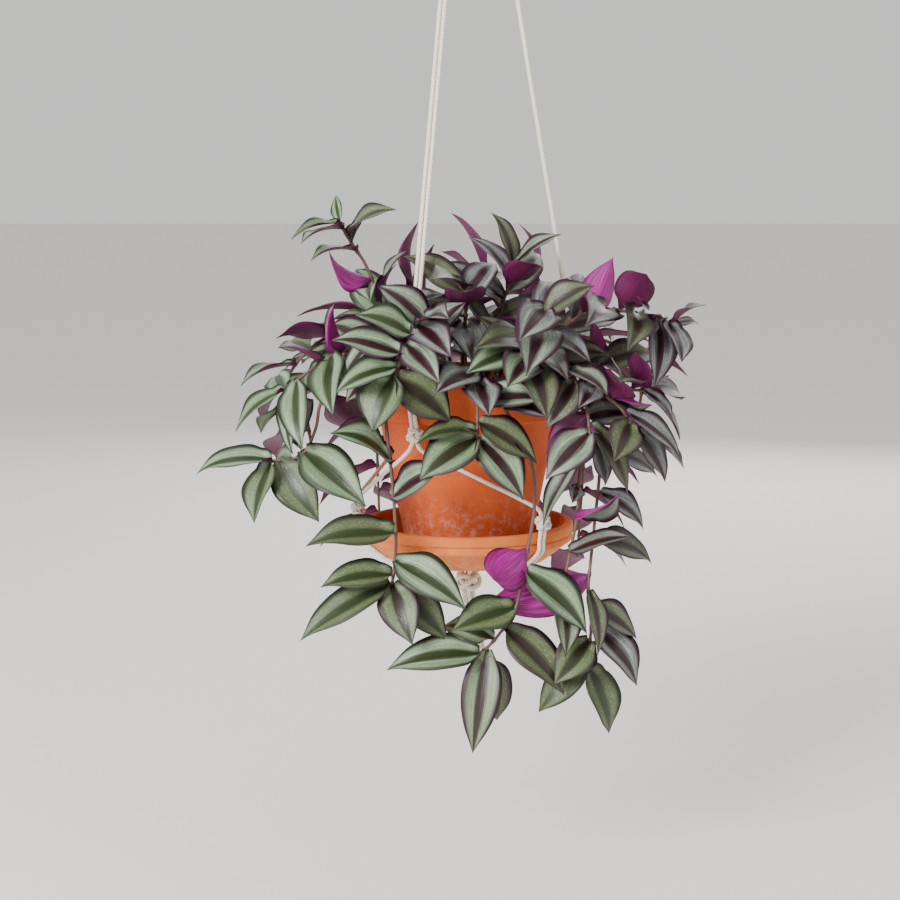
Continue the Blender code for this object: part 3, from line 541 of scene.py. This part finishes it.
def unglazed_clay(name, ground, darker, lighter, foot_z, bloom_height, bloom_strength):
    """Unglazed fired clay: matt and mottled, with fine grit, and a mineral bloom at its foot."""
    finish, tree, shader = start_material(name, 0.85)
    place = add_node(tree, "ShaderNodeTexCoord", {}).outputs["Object"]
    mottle = add_node(tree, "ShaderNodeTexNoise",
                      {"Vector": place, "Scale": per_mm(38.0), "Detail": 4.0})
    patch = add_node(tree, "ShaderNodeMapRange",
                     {"Value": mottle.outputs["Fac"], "From Min": 0.42, "From Max": 0.7})
    grit = add_node(tree, "ShaderNodeTexNoise",
                    {"Vector": place, "Scale": per_mm(1.2), "Detail": 3.0})
    speck = add_node(tree, "ShaderNodeMapRange",
                     {"Value": grit.outputs["Fac"], "From Min": 0.55, "From Max": 0.8,
                      "To Max": 0.55})
    height = add_node(tree, "ShaderNodeSeparateXYZ", {"Vector": place}).outputs["Z"]
    near_foot = add_node(tree, "ShaderNodeMapRange",
                         {"Value": height, "From Min": (foot_z + RIM_Z + bloom_height) * MM,
                          "From Max": (foot_z + RIM_Z) * MM})
    salts = add_node(tree, "ShaderNodeTexNoise",
                     {"Vector": place, "Scale": per_mm(7.0), "Detail": 9.0, "Roughness": 0.78})
    crust = add_node(tree, "ShaderNodeMapRange",
                     {"Value": salts.outputs["Fac"], "From Min": 0.47, "From Max": 0.66,
                      "To Max": bloom_strength})
    bloom = add_node(tree, "ShaderNodeMath",
                     {0: crust.outputs["Result"], 1: near_foot.outputs["Result"]},
                     operation="MULTIPLY")
    colour = layered(tree, ground, [(patch.outputs["Result"], darker),
                                    (speck.outputs["Result"], lighter),
                                    (bloom.outputs[0], "E9DDD0")])
    tree.links.new(colour, shader.inputs["Base Color"])
    tooth = add_node(tree, "ShaderNodeBump", {"Height": grit.outputs["Fac"], "Strength": 0.35,
                                              "Distance": 0.0004})
    tree.links.new(tooth.outputs["Normal"], shader.inputs["Normal"])
    return finish


def rounded(corners):
    """Profile points from (radius, height, rounding) corners, each turned into a short arc."""
    profile = []
    count = len(corners)
    for i, (r, z, reach) in enumerate(corners):
        here = Vector((r, z))
        before = Vector(corners[i - 1][:2]) - here
        after = Vector(corners[(i + 1) % count][:2]) - here
        if not reach:
            profile.append((r, z))
            continue
        start = here + before.normalized() * min(reach, before.length * 0.49)
        end = here + after.normalized() * min(reach, after.length * 0.49)
        for j in range(ARC_STEPS + 1):
            u = j / ARC_STEPS
            point = start.lerp(here, u).lerp(here.lerp(end, u), u)
            profile.append((point.x, point.y))
    return profile


def thrown(profile, through=True):
    """Points and faces of a profile turned on a wheel, a little out of true.

    The profile is a closed loop where the piece has a hole through its middle, and otherwise it
    runs from the middle of the floor out, round and back to the middle of the foot.
    """
    points = []
    for r, z in profile:
        for j in range(CLAY_STEPS):
            turn = 2 * pi * j / CLAY_STEPS
            spot = Vector((cos(turn), sin(turn), 0.0)) * WOBBLE_CIRCLE
            spot.z = z / WOBBLE_HEIGHT
            radius = r + CLAY_WOBBLE * noise.noise(spot) * min(1.0, r / FAIR_R)
            points.append(Vector((radius * cos(turn), radius * sin(turn), z + RIM_Z)))
    faces = grid_faces(len(profile), CLAY_STEPS, wrap_rows=through)
    if not through:
        faces.append(tuple(range(CLAY_STEPS)))
        faces.append(tuple(range(len(points) - CLAY_STEPS, len(points)))[::-1])
    return points, faces


# Inside, the wall steps in behind the collar's foot, between these heights.
STEP_TOP = 6.0 - COLLAR_HEIGHT
STEP_FOOT = -5.0 - COLLAR_HEIGHT

inner_top = BODY_TOP_R - POT_WALL
pot_profile = rounded([
    (POT_RIM_R, 0.0, 2.2), (COLLAR_FOOT_R, -COLLAR_HEIGHT, 1.6),
    (BODY_TOP_R, -COLLAR_HEIGHT - 0.8, 1.4), (BODY_FOOT_R, -POT_HEIGHT, 2.0),
    (DRAIN_R, -POT_HEIGHT, 0.8), (DRAIN_R, -POT_HEIGHT + POT_WALL, 1.2),
    (BODY_FOOT_R - POT_WALL, -POT_HEIGHT + POT_WALL, 0.0),
    (inner_top, STEP_FOOT, 0.0), (POT_RIM_R - POT_WALL - 2.0, STEP_TOP, 0.0),
    (POT_RIM_R - POT_WALL, 0.0, 2.2),
])
terracotta = unglazed_clay("unglazed_terracotta", "CC571F", "B54516", "E0803F",
                           -POT_HEIGHT, 50.0, 0.5)
points, faces = thrown(pot_profile)
pot = add_piece("terracotta_pot", points, faces, [terracotta])
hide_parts("pot")


# ---- Saucer
# A paler terracotta saucer, pressed in a mould, with a rolled lip and a raised band under it. The
# pot stands in its floor and run-off collects round it.

SAUCER_FLOOR = -POT_HEIGHT - GAP
SAUCER_WALL = 5.5
SAUCER_MIDDLE_R = 2.0

lip = SAUCER_RIM_R
saucer_profile = rounded([
    (SAUCER_MIDDLE_R, SAUCER_FLOOR, 0.0), (SAUCER_FOOT_R, SAUCER_FLOOR, 3.0),
    (lip - 1.5 - SAUCER_WALL, SAUCER_TOP - 9.0, 2.0), (lip - SAUCER_WALL, SAUCER_TOP, 2.0),
    (lip, SAUCER_TOP, 2.4), (lip, SAUCER_TOP - 7.0, 1.2), (lip - 1.8, SAUCER_TOP - 8.0, 0.6),
    (lip - 0.5, SAUCER_TOP - 9.0, 0.7), (lip - 0.5, SAUCER_TOP - 12.5, 0.9),
    (lip - 2.7, SAUCER_TOP - 14.0, 0.8), (SAUCER_FOOT_R, SAUCER_FOOT, 1.5),
    (SAUCER_MIDDLE_R, SAUCER_FOOT, 0.0),
])
saucer_clay = unglazed_clay("pressed_terracotta", "D9742F", "C96226", "E8955A",
                            SAUCER_FOOT, 24.0, 0.35)
points, faces = thrown(saucer_profile, through=False)
saucer = add_piece("pressed_saucer", points, faces, [saucer_clay])
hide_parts("saucer")


# ---- Compost
# Peat-free potting compost, poured in and watered down, with a rough crumbly top and pale bits of
# wood fibre in it. It fills the pot to a finger's width under the rim.

SOIL_DEPTH = 12.0
SOIL_RINGS = 46
SOIL_STEPS = 120
CRUMB_RISE = 1.6
CRUMB_SIZE = 3.4
HOLLOW_SIZE = 22.0
# The crumbs rise and fall about a level this far under the soil's named depth.
LEVEL_DROP = 0.9
# From this share of its radius out, the compost sinks towards the pot's wall.
SINK_START = 0.82
SINK_DEPTH = 2.0


def potting_compost():
    """Damp compost: near black and dull, with brown crumbs and paler wood fibre."""
    finish, tree, shader = start_material("potting_compost", 0.95)
    place = add_node(tree, "ShaderNodeTexCoord", {}).outputs["Object"]
    crumb = add_node(tree, "ShaderNodeTexNoise",
                     {"Vector": place, "Scale": per_mm(2.5), "Detail": 5.0})
    fibre = add_node(tree, "ShaderNodeTexVoronoi", {"Vector": place, "Scale": per_mm(3.0)})
    pale = add_node(tree, "ShaderNodeMapRange", {"Value": fibre.outputs["Distance"],
                                                 "From Min": 0.16, "From Max": 0.05,
                                                 "To Max": 0.8})
    colour = layered(tree, "2A1C14", [(crumb.outputs["Fac"], "4A3324"),
                                      (pale.outputs["Result"], "8A6A48")])
    tree.links.new(colour, shader.inputs["Base Color"])
    rough = add_node(tree, "ShaderNodeBump", {"Height": crumb.outputs["Fac"], "Strength": 0.9,
                                              "Distance": 0.001})
    tree.links.new(rough.outputs["Normal"], shader.inputs["Normal"])
    return finish


inner_rim = POT_RIM_R - POT_WALL - 2.0 - GAP
points = [Vector((0.0, 0.0, RIM_Z - SOIL_DEPTH))]
for i in range(1, SOIL_RINGS + 1):
    radius = inner_rim * i / SOIL_RINGS
    for j in range(SOIL_STEPS):
        turn = 2 * pi * j / SOIL_STEPS
        spot = Vector((radius * cos(turn), radius * sin(turn), 0.0))
        rise = CRUMB_RISE * noise.noise(spot / CRUMB_SIZE) + noise.noise(spot / HOLLOW_SIZE)
        sunk = SINK_DEPTH * max(0.0, i / SOIL_RINGS - SINK_START) / (1.0 - SINK_START)
        height = RIM_Z - SOIL_DEPTH - LEVEL_DROP + rise - sunk
        points.append(spot + Vector((0.0, 0.0, height)))
for radius, height in ((inner_rim, STEP_TOP), (inner_top - GAP, STEP_FOOT),
                       (BODY_FOOT_R - POT_WALL - GAP, -POT_HEIGHT + POT_WALL + GAP)):
    for j in range(SOIL_STEPS):
        turn = 2 * pi * j / SOIL_STEPS
        points.append(Vector((radius * cos(turn), radius * sin(turn), height + RIM_Z)))
faces = [(0, 1 + j, 1 + (j + 1) % SOIL_STEPS) for j in range(SOIL_STEPS)]
faces += grid_faces(SOIL_RINGS + 3, SOIL_STEPS, first=1, wrap_rows=False)
faces.append(tuple(range(len(points) - SOIL_STEPS, len(points)))[::-1])
compost = add_piece("potting_soil", points, faces, [potting_compost()])
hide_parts("soil")


# ---- Vines
# Living stems of inch plant, rooted in the compost. Each leaf clasps its stem at a swollen node,
# striped silver and green above with a dark middle and rim, and bright magenta underneath.

# Each stem in front, from the compost to its tip, as places to the right of, behind and above the
# middle of the pot's rim.
FRONT_STEMS = {
    "vine_upright": ((-33, -12, -11), (-52, -24, 25), (-69, -35, 72), (-80, -36, 90),
        (-89, -36, 106)),
    "vine_top": ((10, 5, -11), (16, -8, 30), (27, -20, 58), (31, -26, 77)),
    "vine_crown_front": ((25, -25, -11), (36, -52, 16), (46, -66, 36), (51, -72, 48)),
    "vine_crown_left": ((-15, -30, -11), (-24, -54, 22), (-30, -72, 40), (-42, -90, 24),
        (-50, -98, 2)),
    "vine_crown_middle": ((-5, -12, -11), (-4, -28, 22), (-2, -40, 46), (-4, -50, 62)),
    "vine_crown_low": ((16, -32, -11), (26, -56, 12), (34, -74, 20), (40, -88, 14)),
    "vine_left": ((-45, -15, -11), (-66, -28, 18), (-90, -44, 16), (-112, -52, 2),
        (-127, -52, -11)),
    "vine_left_low": ((-40, -35, -11), (-58, -56, 12), (-76, -72, 3), (-98, -72, -12),
        (-104, -68, -34), (-114, -64, -52), (-136, -58, -57)),
    "vine_front_left": ((-27, -38, -11), (-47, -59, 11), (-57, -82, 0), (-55, -93, -30),
        (-52, -96, -57), (-50, -96, -82), (-49, -96, -111), (-52, -95, -137)),
    "vine_front": ((0, -40, -11), (2, -66, 12), (4, -90, 4), (5, -98, -12), (5, -100, -38)),
    "vine_front_long": ((10, -42, -11), (14, -66, 11), (18, -88, 2), (24, -94, -18),
        (34, -96, -35), (42, -96, -58), (43, -96, -82), (40, -97, -103), (31, -98, -150),
        (20, -98, -168), (6, -98, -184)),
    "vine_right_front": ((30, -35, -11), (48, -62, 13), (66, -86, 6), (76, -98, -14),
        (79, -104, -34)),
    "vine_right_trail": ((38, -30, -11), (57, -56, 12), (72, -76, -2), (76, -86, -35),
        (73, -88, -67), (72, -88, -90), (66, -90, -121), (62, -92, -138)),
    "vine_right_long": ((46, -18, -11), (66, -38, 12), (82, -60, -4), (88, -74, -50),
        (84, -80, -100), (80, -88, -140), (82, -92, -162), (79, -92, -193)),
    "vine_right_crown": ((42, 2, -11), (62, -10, 26), (86, -26, 44), (114, -36, 43),
        (132, -40, 38), (141, -40, 34)),
    "vine_right": ((48, -14, -11), (70, -34, 15), (95, -58, 4), (110, -64, -7), (123, -62, -6)),
    "vine_right_low": ((36, -38, -11), (53, -60, 14), (79, -84, -1), (101, -91, -18),
        (109, -90, -34)),
}

# The stems round the back and sides: azimuth, drift round the pot, reach, crown and end height.
ROUND_STEMS = {
    "vine_side_right": (12, 6, 132, 22, -66),
    "vine_back_right_low": (34, 8, 118, 16, -150),
    "vine_back_right": (56, -4, 132, 30, -24),
    "vine_back_long": (72, 2, 112, 18, -142),
    "vine_back": (92, -2, 132, 26, -62),
    "vine_back_low": (106, -3, 114, 16, -118),
    "vine_back_left": (144, -2, 134, 28, -34),
    "vine_back_left_low": (127, 0, 116, 18, -136),
    "vine_side_left": (164, 4, 136, 24, -46),
    "vine_side_left_low": (184, 4, 116, 14, -58),
    "vine_crown_right": (30, 10, 62, 50, 54),
    "vine_crown_back": (84, -10, 50, 60, 66),
    "vine_crown_back_left": (128, 4, 60, 52, 56),
    "vine_crown_side_left": (178, -12, 72, 42, 42),
}
ROUND_START_R = 36.0
CROWN_START_R = 18.0

STEM_R = 1.45
STEM_TIP_R = 1.0
STEM_SIDES = 10
STEM_STEP = 1.6
NODE_SWELL = 0.75
NODE_REACH = 1.9
# A packed leaf: its thickness, where its ring of four points lies along it, the share of the full
# width that the ring has, and how far its thickness may be off.
CAGE_THICK = 1.1
CAGE_RING = 0.55
CAGE_FULL = 0.92
CAGE_SLACK = 0.06
BLADE_THICK = 0.55
BLADE_HALF_COLUMNS = 4
BLADE_ROWS = 26
# How wide a blade is, as a share of its widest, at shares of its length from stem to tip.
OUTLINE = ((0.0, 0.24), (0.06, 0.46), (0.2, 0.86), (0.36, 1.0), (0.55, 0.92), (0.74, 0.62),
           (0.88, 0.27), (0.96, 0.08), (1.0, 0.0))
FOLD = 0.32
TURNED_FOLD = 0.3
CLASP = 1.3
CLASP_END = 0.16
# A blade starts this far back, inside its stem.
CLASP_DEPTH = 0.9
# The edges ripple by RIPPLE where the blade is at least RIPPLE_HALF wide on each side. The ripple
# runs through RIPPLE_ANGLE radians along the blade, and one edge is RIPPLE_LAG ahead of the other.
RIPPLE = 1.0
RIPPLE_HALF = 6.0
RIPPLE_ANGLE = 9.0
RIPPLE_LAG = 0.8
TIP_DROOP = 0.05
DROOP_START = 0.6
# How dark a blade is grows to the right and upwards, over these lengths, with some chance in it.
TONE_MIDDLE = 0.44
TONE_REACH_X = 260.0
TONE_REACH_Z = 700.0
TONE_CHANCE = 0.32
# A blade that faces down by this much is one that has turned over. The undersides of the others get
# painted shade.
TURNED_LIMIT = -0.2

OUTLINE_CURVE = smooth([Vector((share, width)) for share, width in OUTLINE], 10)


def blade_width(share):
    """The outline's width at a share of the blade's length."""
    for a, b in zip(OUTLINE_CURVE, OUTLINE_CURVE[1:]):
        if share <= b.x:
            return max(0.0, a.y + (b.y - a.y) * (share - a.x) / (b.x - a.x))
    return 0.0


def round_route(azimuth, drift, reach, crown, end):
    """Up from the compost, over the rim and out, then down to the stem's end."""
    if end > 0.0:
        stops = ((CROWN_START_R, -11.0), (reach * 0.62, crown * 0.45),
                 (reach * 0.86, crown * 0.85), (reach, end))
    else:
        stops = ((ROUND_START_R, -11.0), (reach * 0.52, crown * 0.85),
                 (reach * 0.76, crown * 0.9), (reach * 0.93, crown * 0.2), (reach, -14.0),
                 (reach - 2.0, (end - 14.0) / 2), (reach - 5.0, end))
    last = len(stops) - 1
    return [polar(r, azimuth + drift * i / last, z) for i, (r, z) in enumerate(stops)]


def cage_of(node):
    """The welded points of a packed vine, in millimetres, and the neighbours of each."""
    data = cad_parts[node].data
    places, homes, near = [], {}, []
    index = []
    for vertex in data.vertices:
        key = tuple(round(c * 1e5) for c in vertex.co)
        if key not in homes:
            homes[key] = len(places)
            places.append(vertex.co / MM)
            near.append(set())
        index.append(homes[key])
    for edge in data.edges:
        a, b = (index[v] for v in edge.vertices)
        if a != b:
            near[a].add(b)
            near[b].add(a)
    return places, near


def opposite_pairs(ring, near):
    """The two pairs of points that face each other across a ring of four."""
    first = ring[0]
    facing = [other for other in ring[1:] if other not in near[first]]
    if len(facing) != 1:
        return None
    rest = [other for other in ring if other not in (first, facing[0])]
    return (first, facing[0]), tuple(rest)


def packed_leaves(node):
    """Each leaf of a packed vine: its base, crest, tip, face, side and width."""
    places, near = cage_of(node)
    leaves = []
    for tip in range(len(places)):
        if len(near[tip]) != 4:
            continue
        ring = sorted(near[tip])
        pairs = opposite_pairs(ring, near)
        if not pairs:
            continue
        pairs = sorted(pairs, key=lambda pair: (places[pair[0]] - places[pair[1]]).length)
        thick = (places[pairs[0][0]] - places[pairs[0][1]]).length
        if abs(thick - CAGE_THICK) > CAGE_SLACK:
            continue
        inner = set().union(*(near[i] for i in ring)) - set(ring) - {tip}
        if len(inner) != 4:
            continue
        foot = set().union(*(near[i] for i in inner)) - inner - set(ring)
        if len(foot) != 4:
            continue
        base = sum((places[i] for i in sorted(foot)), Vector()) / 4
        middle = (places[pairs[0][0]] + places[pairs[0][1]]) / 2
        edges = [places[i] for i in pairs[1]]
        face = ((edges[0] + edges[1]) / 2 - middle).normalized()
        side = (places[tip] - base).cross(face).normalized()
        s = CAGE_RING
        crest = (middle - base * (1 - s) ** 2 - places[tip] * s * s) / (2 * s * (1 - s))
        width = (edges[0] - edges[1]).length / CAGE_FULL
        leaves.append((base, crest, places[tip], face, side, width))
    return leaves


class Growth:
    """The points, faces and named numbers of one vine, as they are added."""

    def __init__(self):
        self.points = []
        self.faces = []
        self.shares = []
        self.marks = {"across": [], "along": [], "tone": [], "age": [], "turned": []}

    def add_point(self, point, across, along, tone, age, turned=0.0):
        self.points.append(point)
        for values, value in zip(self.marks.values(), (across, along, tone, age, turned)):
            values.append(value)
        return len(self.points) - 1

    def add_face(self, corners, share):
        self.faces.append(corners)
        self.shares.append(share)


def tone_at(place, chance):
    """0 on the silvery left side, up to 1 on the dark purple crown at the right."""
    drift = TONE_MIDDLE + place.x / TONE_REACH_X + (place.z - RIM_Z) / TONE_REACH_Z
    return min(1.0, max(0.0, drift + chance.uniform(-TONE_CHANCE, TONE_CHANCE)))


def grow_leaf(growth, leaf, chance):
    """A thin closed blade along its midrib, clasping the stem and folded a little along it."""
    base, crest, tip, face, side, width = leaf
    span = tip - base
    age = chance.random()
    tone = tone_at(tip, chance)
    phase = chance.uniform(0.0, 2 * pi)
    turned = 1.0 if face.z < TURNED_LIMIT else 0.0
    droop = TIP_DROOP * chance.uniform(0.3, 1.6) * span.length
    columns = BLADE_HALF_COLUMNS * 2
    before = None
    for i in range(BLADE_ROWS):
        s = i / BLADE_ROWS
        start = base - span.normalized() * CLASP_DEPTH if i == 0 else base
        spine = start * (1 - s) ** 2 + crest * 2 * s * (1 - s) + tip * s * s
        spine = spine - face * droop * (max(0.0, s - DROOP_START) / (1.0 - DROOP_START)) ** 2
        half = width / 2 * blade_width(s)
        fold = FOLD + TURNED_FOLD * turned + CLASP * max(0.0, 1.0 - s / CLASP_END) ** 2
        tops, unders = [], []
        for j in range(columns + 1):
            u = j / BLADE_HALF_COLUMNS - 1.0
            lag = RIPPLE_LAG if u > 0 else 0.0
            wave = RIPPLE * sin(RIPPLE_ANGLE * s + phase + lag) * u * u
            lift = fold * half * abs(u) ** 1.4 + wave * min(1.0, half / RIPPLE_HALF)
            place = spine + side * half * u + face * lift
            thick = face * BLADE_THICK / 2 * (1.0 - u * u)
            if abs(u) == 1.0:
                corner = growth.add_point(place, u, s, tone, age, turned)
                tops.append(corner)
                unders.append(corner)
            else:
                tops.append(growth.add_point(place + thick, u, s, tone, age, turned))
                unders.append(growth.add_point(place - thick, u, s, tone, age, turned))
        if before is None:
            growth.add_face((*tops[::-1], *unders[1:-1]), 1)
        else:
            for j in range(columns):
                growth.add_face((before[0][j], before[0][j + 1], tops[j + 1], tops[j]), 1)
                growth.add_face((before[1][j], unders[j], unders[j + 1], before[1][j + 1]), 2)
        before = tops, unders
    end = growth.add_point(tip - face * droop, 0.0, 1.0, tone, age, turned)
    for j in range(columns):
        growth.add_face((before[0][j], before[0][j + 1], end), 1)
        growth.add_face((before[1][j + 1], before[1][j], end), 2)


def grow_stem(growth, line, leaves, chance):
    """A round stem, swollen at the node of each leaf, with a blunt growing tip."""
    age = chance.random()
    line = evenly(line, STEM_STEP)
    tone = tone_at(line[-1], chance)
    last = len(line) - 1
    nodes = [min(range(len(line)), key=lambda i: (line[i] - leaf[0]).length) for leaf in leaves]
    rows = []
    for i, (centre, (across, over)) in enumerate(zip(line, cross_frames(line))):
        share = i / last
        radius = STEM_R + (STEM_TIP_R - STEM_R) * share
        swell = max([exp(-((i - node) * STEM_STEP / NODE_REACH) ** 2) for node in nodes] or [0.0])
        radius += NODE_SWELL * swell * (1.0 - 0.4 * share)
        if i == last:
            radius *= 0.4
        row = []
        for j in range(STEM_SIDES):
            turn = 2 * pi * j / STEM_SIDES
            place = centre + (across * cos(turn) + over * sin(turn)) * radius
            row.append(growth.add_point(place, swell, share, tone, age))
        rows.append(row)
    growth.add_face(tuple(rows[0][::-1]), 0)
    growth.add_face(tuple(rows[-1]), 0)
    for low, high in zip(rows, rows[1:]):
        for j in range(STEM_SIDES):
            k = (j + 1) % STEM_SIDES
            growth.add_face((low[j], low[k], high[k], high[j]), 0)


def blade_marks(tree):
    """A blade's own numbers by name, with the fine veins that run along it, no two blades alike."""
    marks = {}
    for name in ("across", "along", "age"):
        marks[name] = add_node(tree, "ShaderNodeAttribute", {}, attribute_name=name).outputs["Fac"]
    grain = add_node(tree, "ShaderNodeCombineXYZ",
                     {"X": marks["across"], "Y": marks["along"], "Z": marks["age"]})
    stretch = add_node(tree, "ShaderNodeMapping",
                       {"Vector": grain.outputs["Vector"], "Scale": (15.0, 1.5, 40.0)})
    vein = add_node(tree, "ShaderNodeTexNoise",
                    {"Vector": stretch.outputs["Vector"], "Scale": 1.0, "Detail": 5.0,
                     "Roughness": 0.65})
    marks["vein"] = vein.outputs["Fac"]
    return marks


def off_midrib(tree, marks):
    """How far a point is from the midrib, 0 to 1, wavering a little with the veins."""
    distance = add_node(tree, "ShaderNodeMath", {0: marks["across"]}, operation="ABSOLUTE")
    waver = add_node(tree, "ShaderNodeMath", {0: marks["vein"], 1: 0.24, 2: -0.12},
                     operation="MULTIPLY_ADD")
    wavered = add_node(tree, "ShaderNodeMath", {0: distance.outputs[0], 1: waver.outputs[0]},
                       operation="ADD")
    return wavered.outputs[0]


def masks_of(tree, rises):
    """Masks by name. Each rises smoothly along a number, from 0 at its first value to its most."""
    masks = {}
    for name, (number, first, last, most) in rises.items():
        rise = add_node(tree, "ShaderNodeMapRange",
                        {"Value": number, "From Min": first, "From Max": last, "To Max": most},
                        interpolation_type="SMOOTHSTEP")
        masks[name] = rise.outputs["Result"]
    return masks


# Real skin cells are about 0.1 mm, too fine to show, so the painted glints of light off them are drawn
# coarser.
CELL_SIZE = 0.9


def striped_upper_skin():
    """The upper skin: two silver bands of air-filled cells, between a dark middle and rim.

    The silver scatters light like satin, so the bands look frosted beside the glossy dark ones. Fine
    pale specks on the silver are painted glints of light.
    """
    finish, tree, shader = start_material("striped_leaf_skin", 0.4)
    marks = blade_marks(tree)
    distance = off_midrib(tree, marks)
    tone = add_node(tree, "ShaderNodeAttribute", {}, attribute_name="tone").outputs["Fac"]
    place = add_node(tree, "ShaderNodeTexCoord", {}).outputs["Object"]
    cells = add_node(tree, "ShaderNodeTexNoise",
                     {"Vector": place, "Scale": per_mm(CELL_SIZE), "Detail": 2.0})
    masks = masks_of(tree, {
        "purple": (tone, 0.3, 0.8, 1.0),
        "dull": (marks["age"], 0.45, 0.85, 0.85),
        "streaked": (marks["vein"], 0.42, 0.68, 0.85),
        "fresh": (marks["age"], 0.9, 0.15, 1.0),
        # Painted highlight: pale specks over the silver stand for glints of light off its cells.
        "painted_sparkle": (cells.outputs["Fac"], 0.52, 0.76, 0.34),
        "wine_middle": (tone, 0.15, 0.45, 1.0),
        "wine_rim": (tone, 0.1, 0.45, 1.0),
        "in_band": (distance, 0.15, 0.42, 1.0),
        "at_rim": (distance, 0.6, 0.88, 1.0),
        "at_tip": (marks["along"], 0.84, 1.0, 0.7),
        "old": (marks["age"], 0.55, 1.0, 0.35),
    })
    bright = add_node(tree, "ShaderNodeMath", {0: masks["streaked"], 1: masks["fresh"]},
                      operation="MULTIPLY")
    silver = layered(tree, "64805A", [(masks["purple"], "5A5264"), (masks["dull"], "59623A"),
                                      (bright.outputs[0], "A6BBA0"),
                                      (masks["painted_sparkle"], "D3DECC")])
    middle = layered(tree, "29361A", [(masks["wine_middle"], "2C0F18")])
    rim = layered(tree, "2A3220", [(masks["wine_rim"], "37142A")])
    colour = layered(tree, middle, [(masks["in_band"], silver), (masks["at_rim"], rim),
                                    (masks["at_tip"], rim), (masks["old"], "33402A")])
    tree.links.new(colour, shader.inputs["Base Color"])
    satin = add_node(tree, "ShaderNodeMapRange",
                     {"Value": distance, "From Min": 0.1, "From Max": 0.4, "To Min": 0.3,
                      "To Max": 0.46})
    tree.links.new(satin.outputs["Result"], shader.inputs["Roughness"])
    ribs = add_node(tree, "ShaderNodeBump", {"Height": marks["vein"], "Strength": 0.5,
                                             "Distance": 0.0006})
    tree.links.new(ribs.outputs["Normal"], shader.inputs["Normal"])
    return finish


def magenta_under_skin():
    """The underside: vivid magenta and silky, with darker veins, deeper purple near the stem, and
    painted shade on blades that have not turned over.
    """
    finish, tree, shader = start_material("magenta_leaf_skin", 0.5)
    marks = blade_marks(tree)
    turned = add_node(tree, "ShaderNodeAttribute", {}, attribute_name="turned").outputs["Fac"]
    masks = masks_of(tree, {
        "bright": (marks["vein"], 0.58, 0.36, 0.55),
        "deep": (marks["age"], 0.45, 1.0, 0.5),
        "veined": (marks["vein"], 0.44, 0.62, 0.8),
        "near_stem": (marks["along"], 0.3, 0.0, 0.5),
        # Painted shade: blades that have not turned over hold their undersides away from the light, so
        # these are painted a dark purple.
        "painted_shade": (turned, 0.6, 0.0, 0.85),
    })
    colour = layered(tree, "930477", [(masks["bright"], "C22BA6"), (masks["deep"], "7A1160"),
                                      (masks["veined"], "6A0A52"),
                                      (masks["near_stem"], "5C1450"),
                                      (masks["painted_shade"], "521238")])
    tree.links.new(colour, shader.inputs["Base Color"])
    ribs = add_node(tree, "ShaderNodeBump", {"Height": marks["vein"], "Strength": 0.7,
                                             "Distance": 0.0009})
    tree.links.new(ribs.outputs["Normal"], shader.inputs["Normal"])
    return finish


def fleshy_stem_skin():
    """The stem's skin: smooth and fleshy, brown purple, pinker at the nodes and greener at the tip."""
    finish, tree, shader = start_material("fleshy_stem_skin", 0.45)
    place = add_node(tree, "ShaderNodeTexCoord", {}).outputs["Object"]
    fleck = add_node(tree, "ShaderNodeTexNoise",
                     {"Vector": place, "Scale": per_mm(2.2), "Detail": 3.0})
    swell = add_node(tree, "ShaderNodeAttribute", {}, attribute_name="across").outputs["Fac"]
    along = add_node(tree, "ShaderNodeAttribute", {}, attribute_name="along").outputs["Fac"]
    masks = masks_of(tree, {"node": (swell, 0.2, 1.0, 0.7), "tip": (along, 0.5, 1.0, 0.4)})
    colour = layered(tree, "4A302A", [(fleck.outputs["Fac"], "6E4C42"), (masks["tip"], "6C5840"),
                                      (masks["node"], "48262E")])
    tree.links.new(colour, shader.inputs["Base Color"])
    return finish


skins = [fleshy_stem_skin(), striped_upper_skin(), magenta_under_skin()]
stems = {}
for name, stops in FRONT_STEMS.items():
    stems[name] = [Vector((x, y, z + RIM_Z)) for x, y, z in stops]
for name, course in ROUND_STEMS.items():
    stems[name] = round_route(*course)
chance = Random(23)
for name, route in stems.items():
    growth = Growth()
    leaves = packed_leaves(name)
    grow_stem(growth, smooth(route, 8), leaves, chance)
    for leaf in leaves:
        grow_leaf(growth, leaf, chance)
    vine = add_piece(f"grown_{name}", growth.points, growth.faces, skins, growth.marks,
                     growth.shares)
    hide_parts(name)


# ---- Update

bpy.context.view_layer.update()
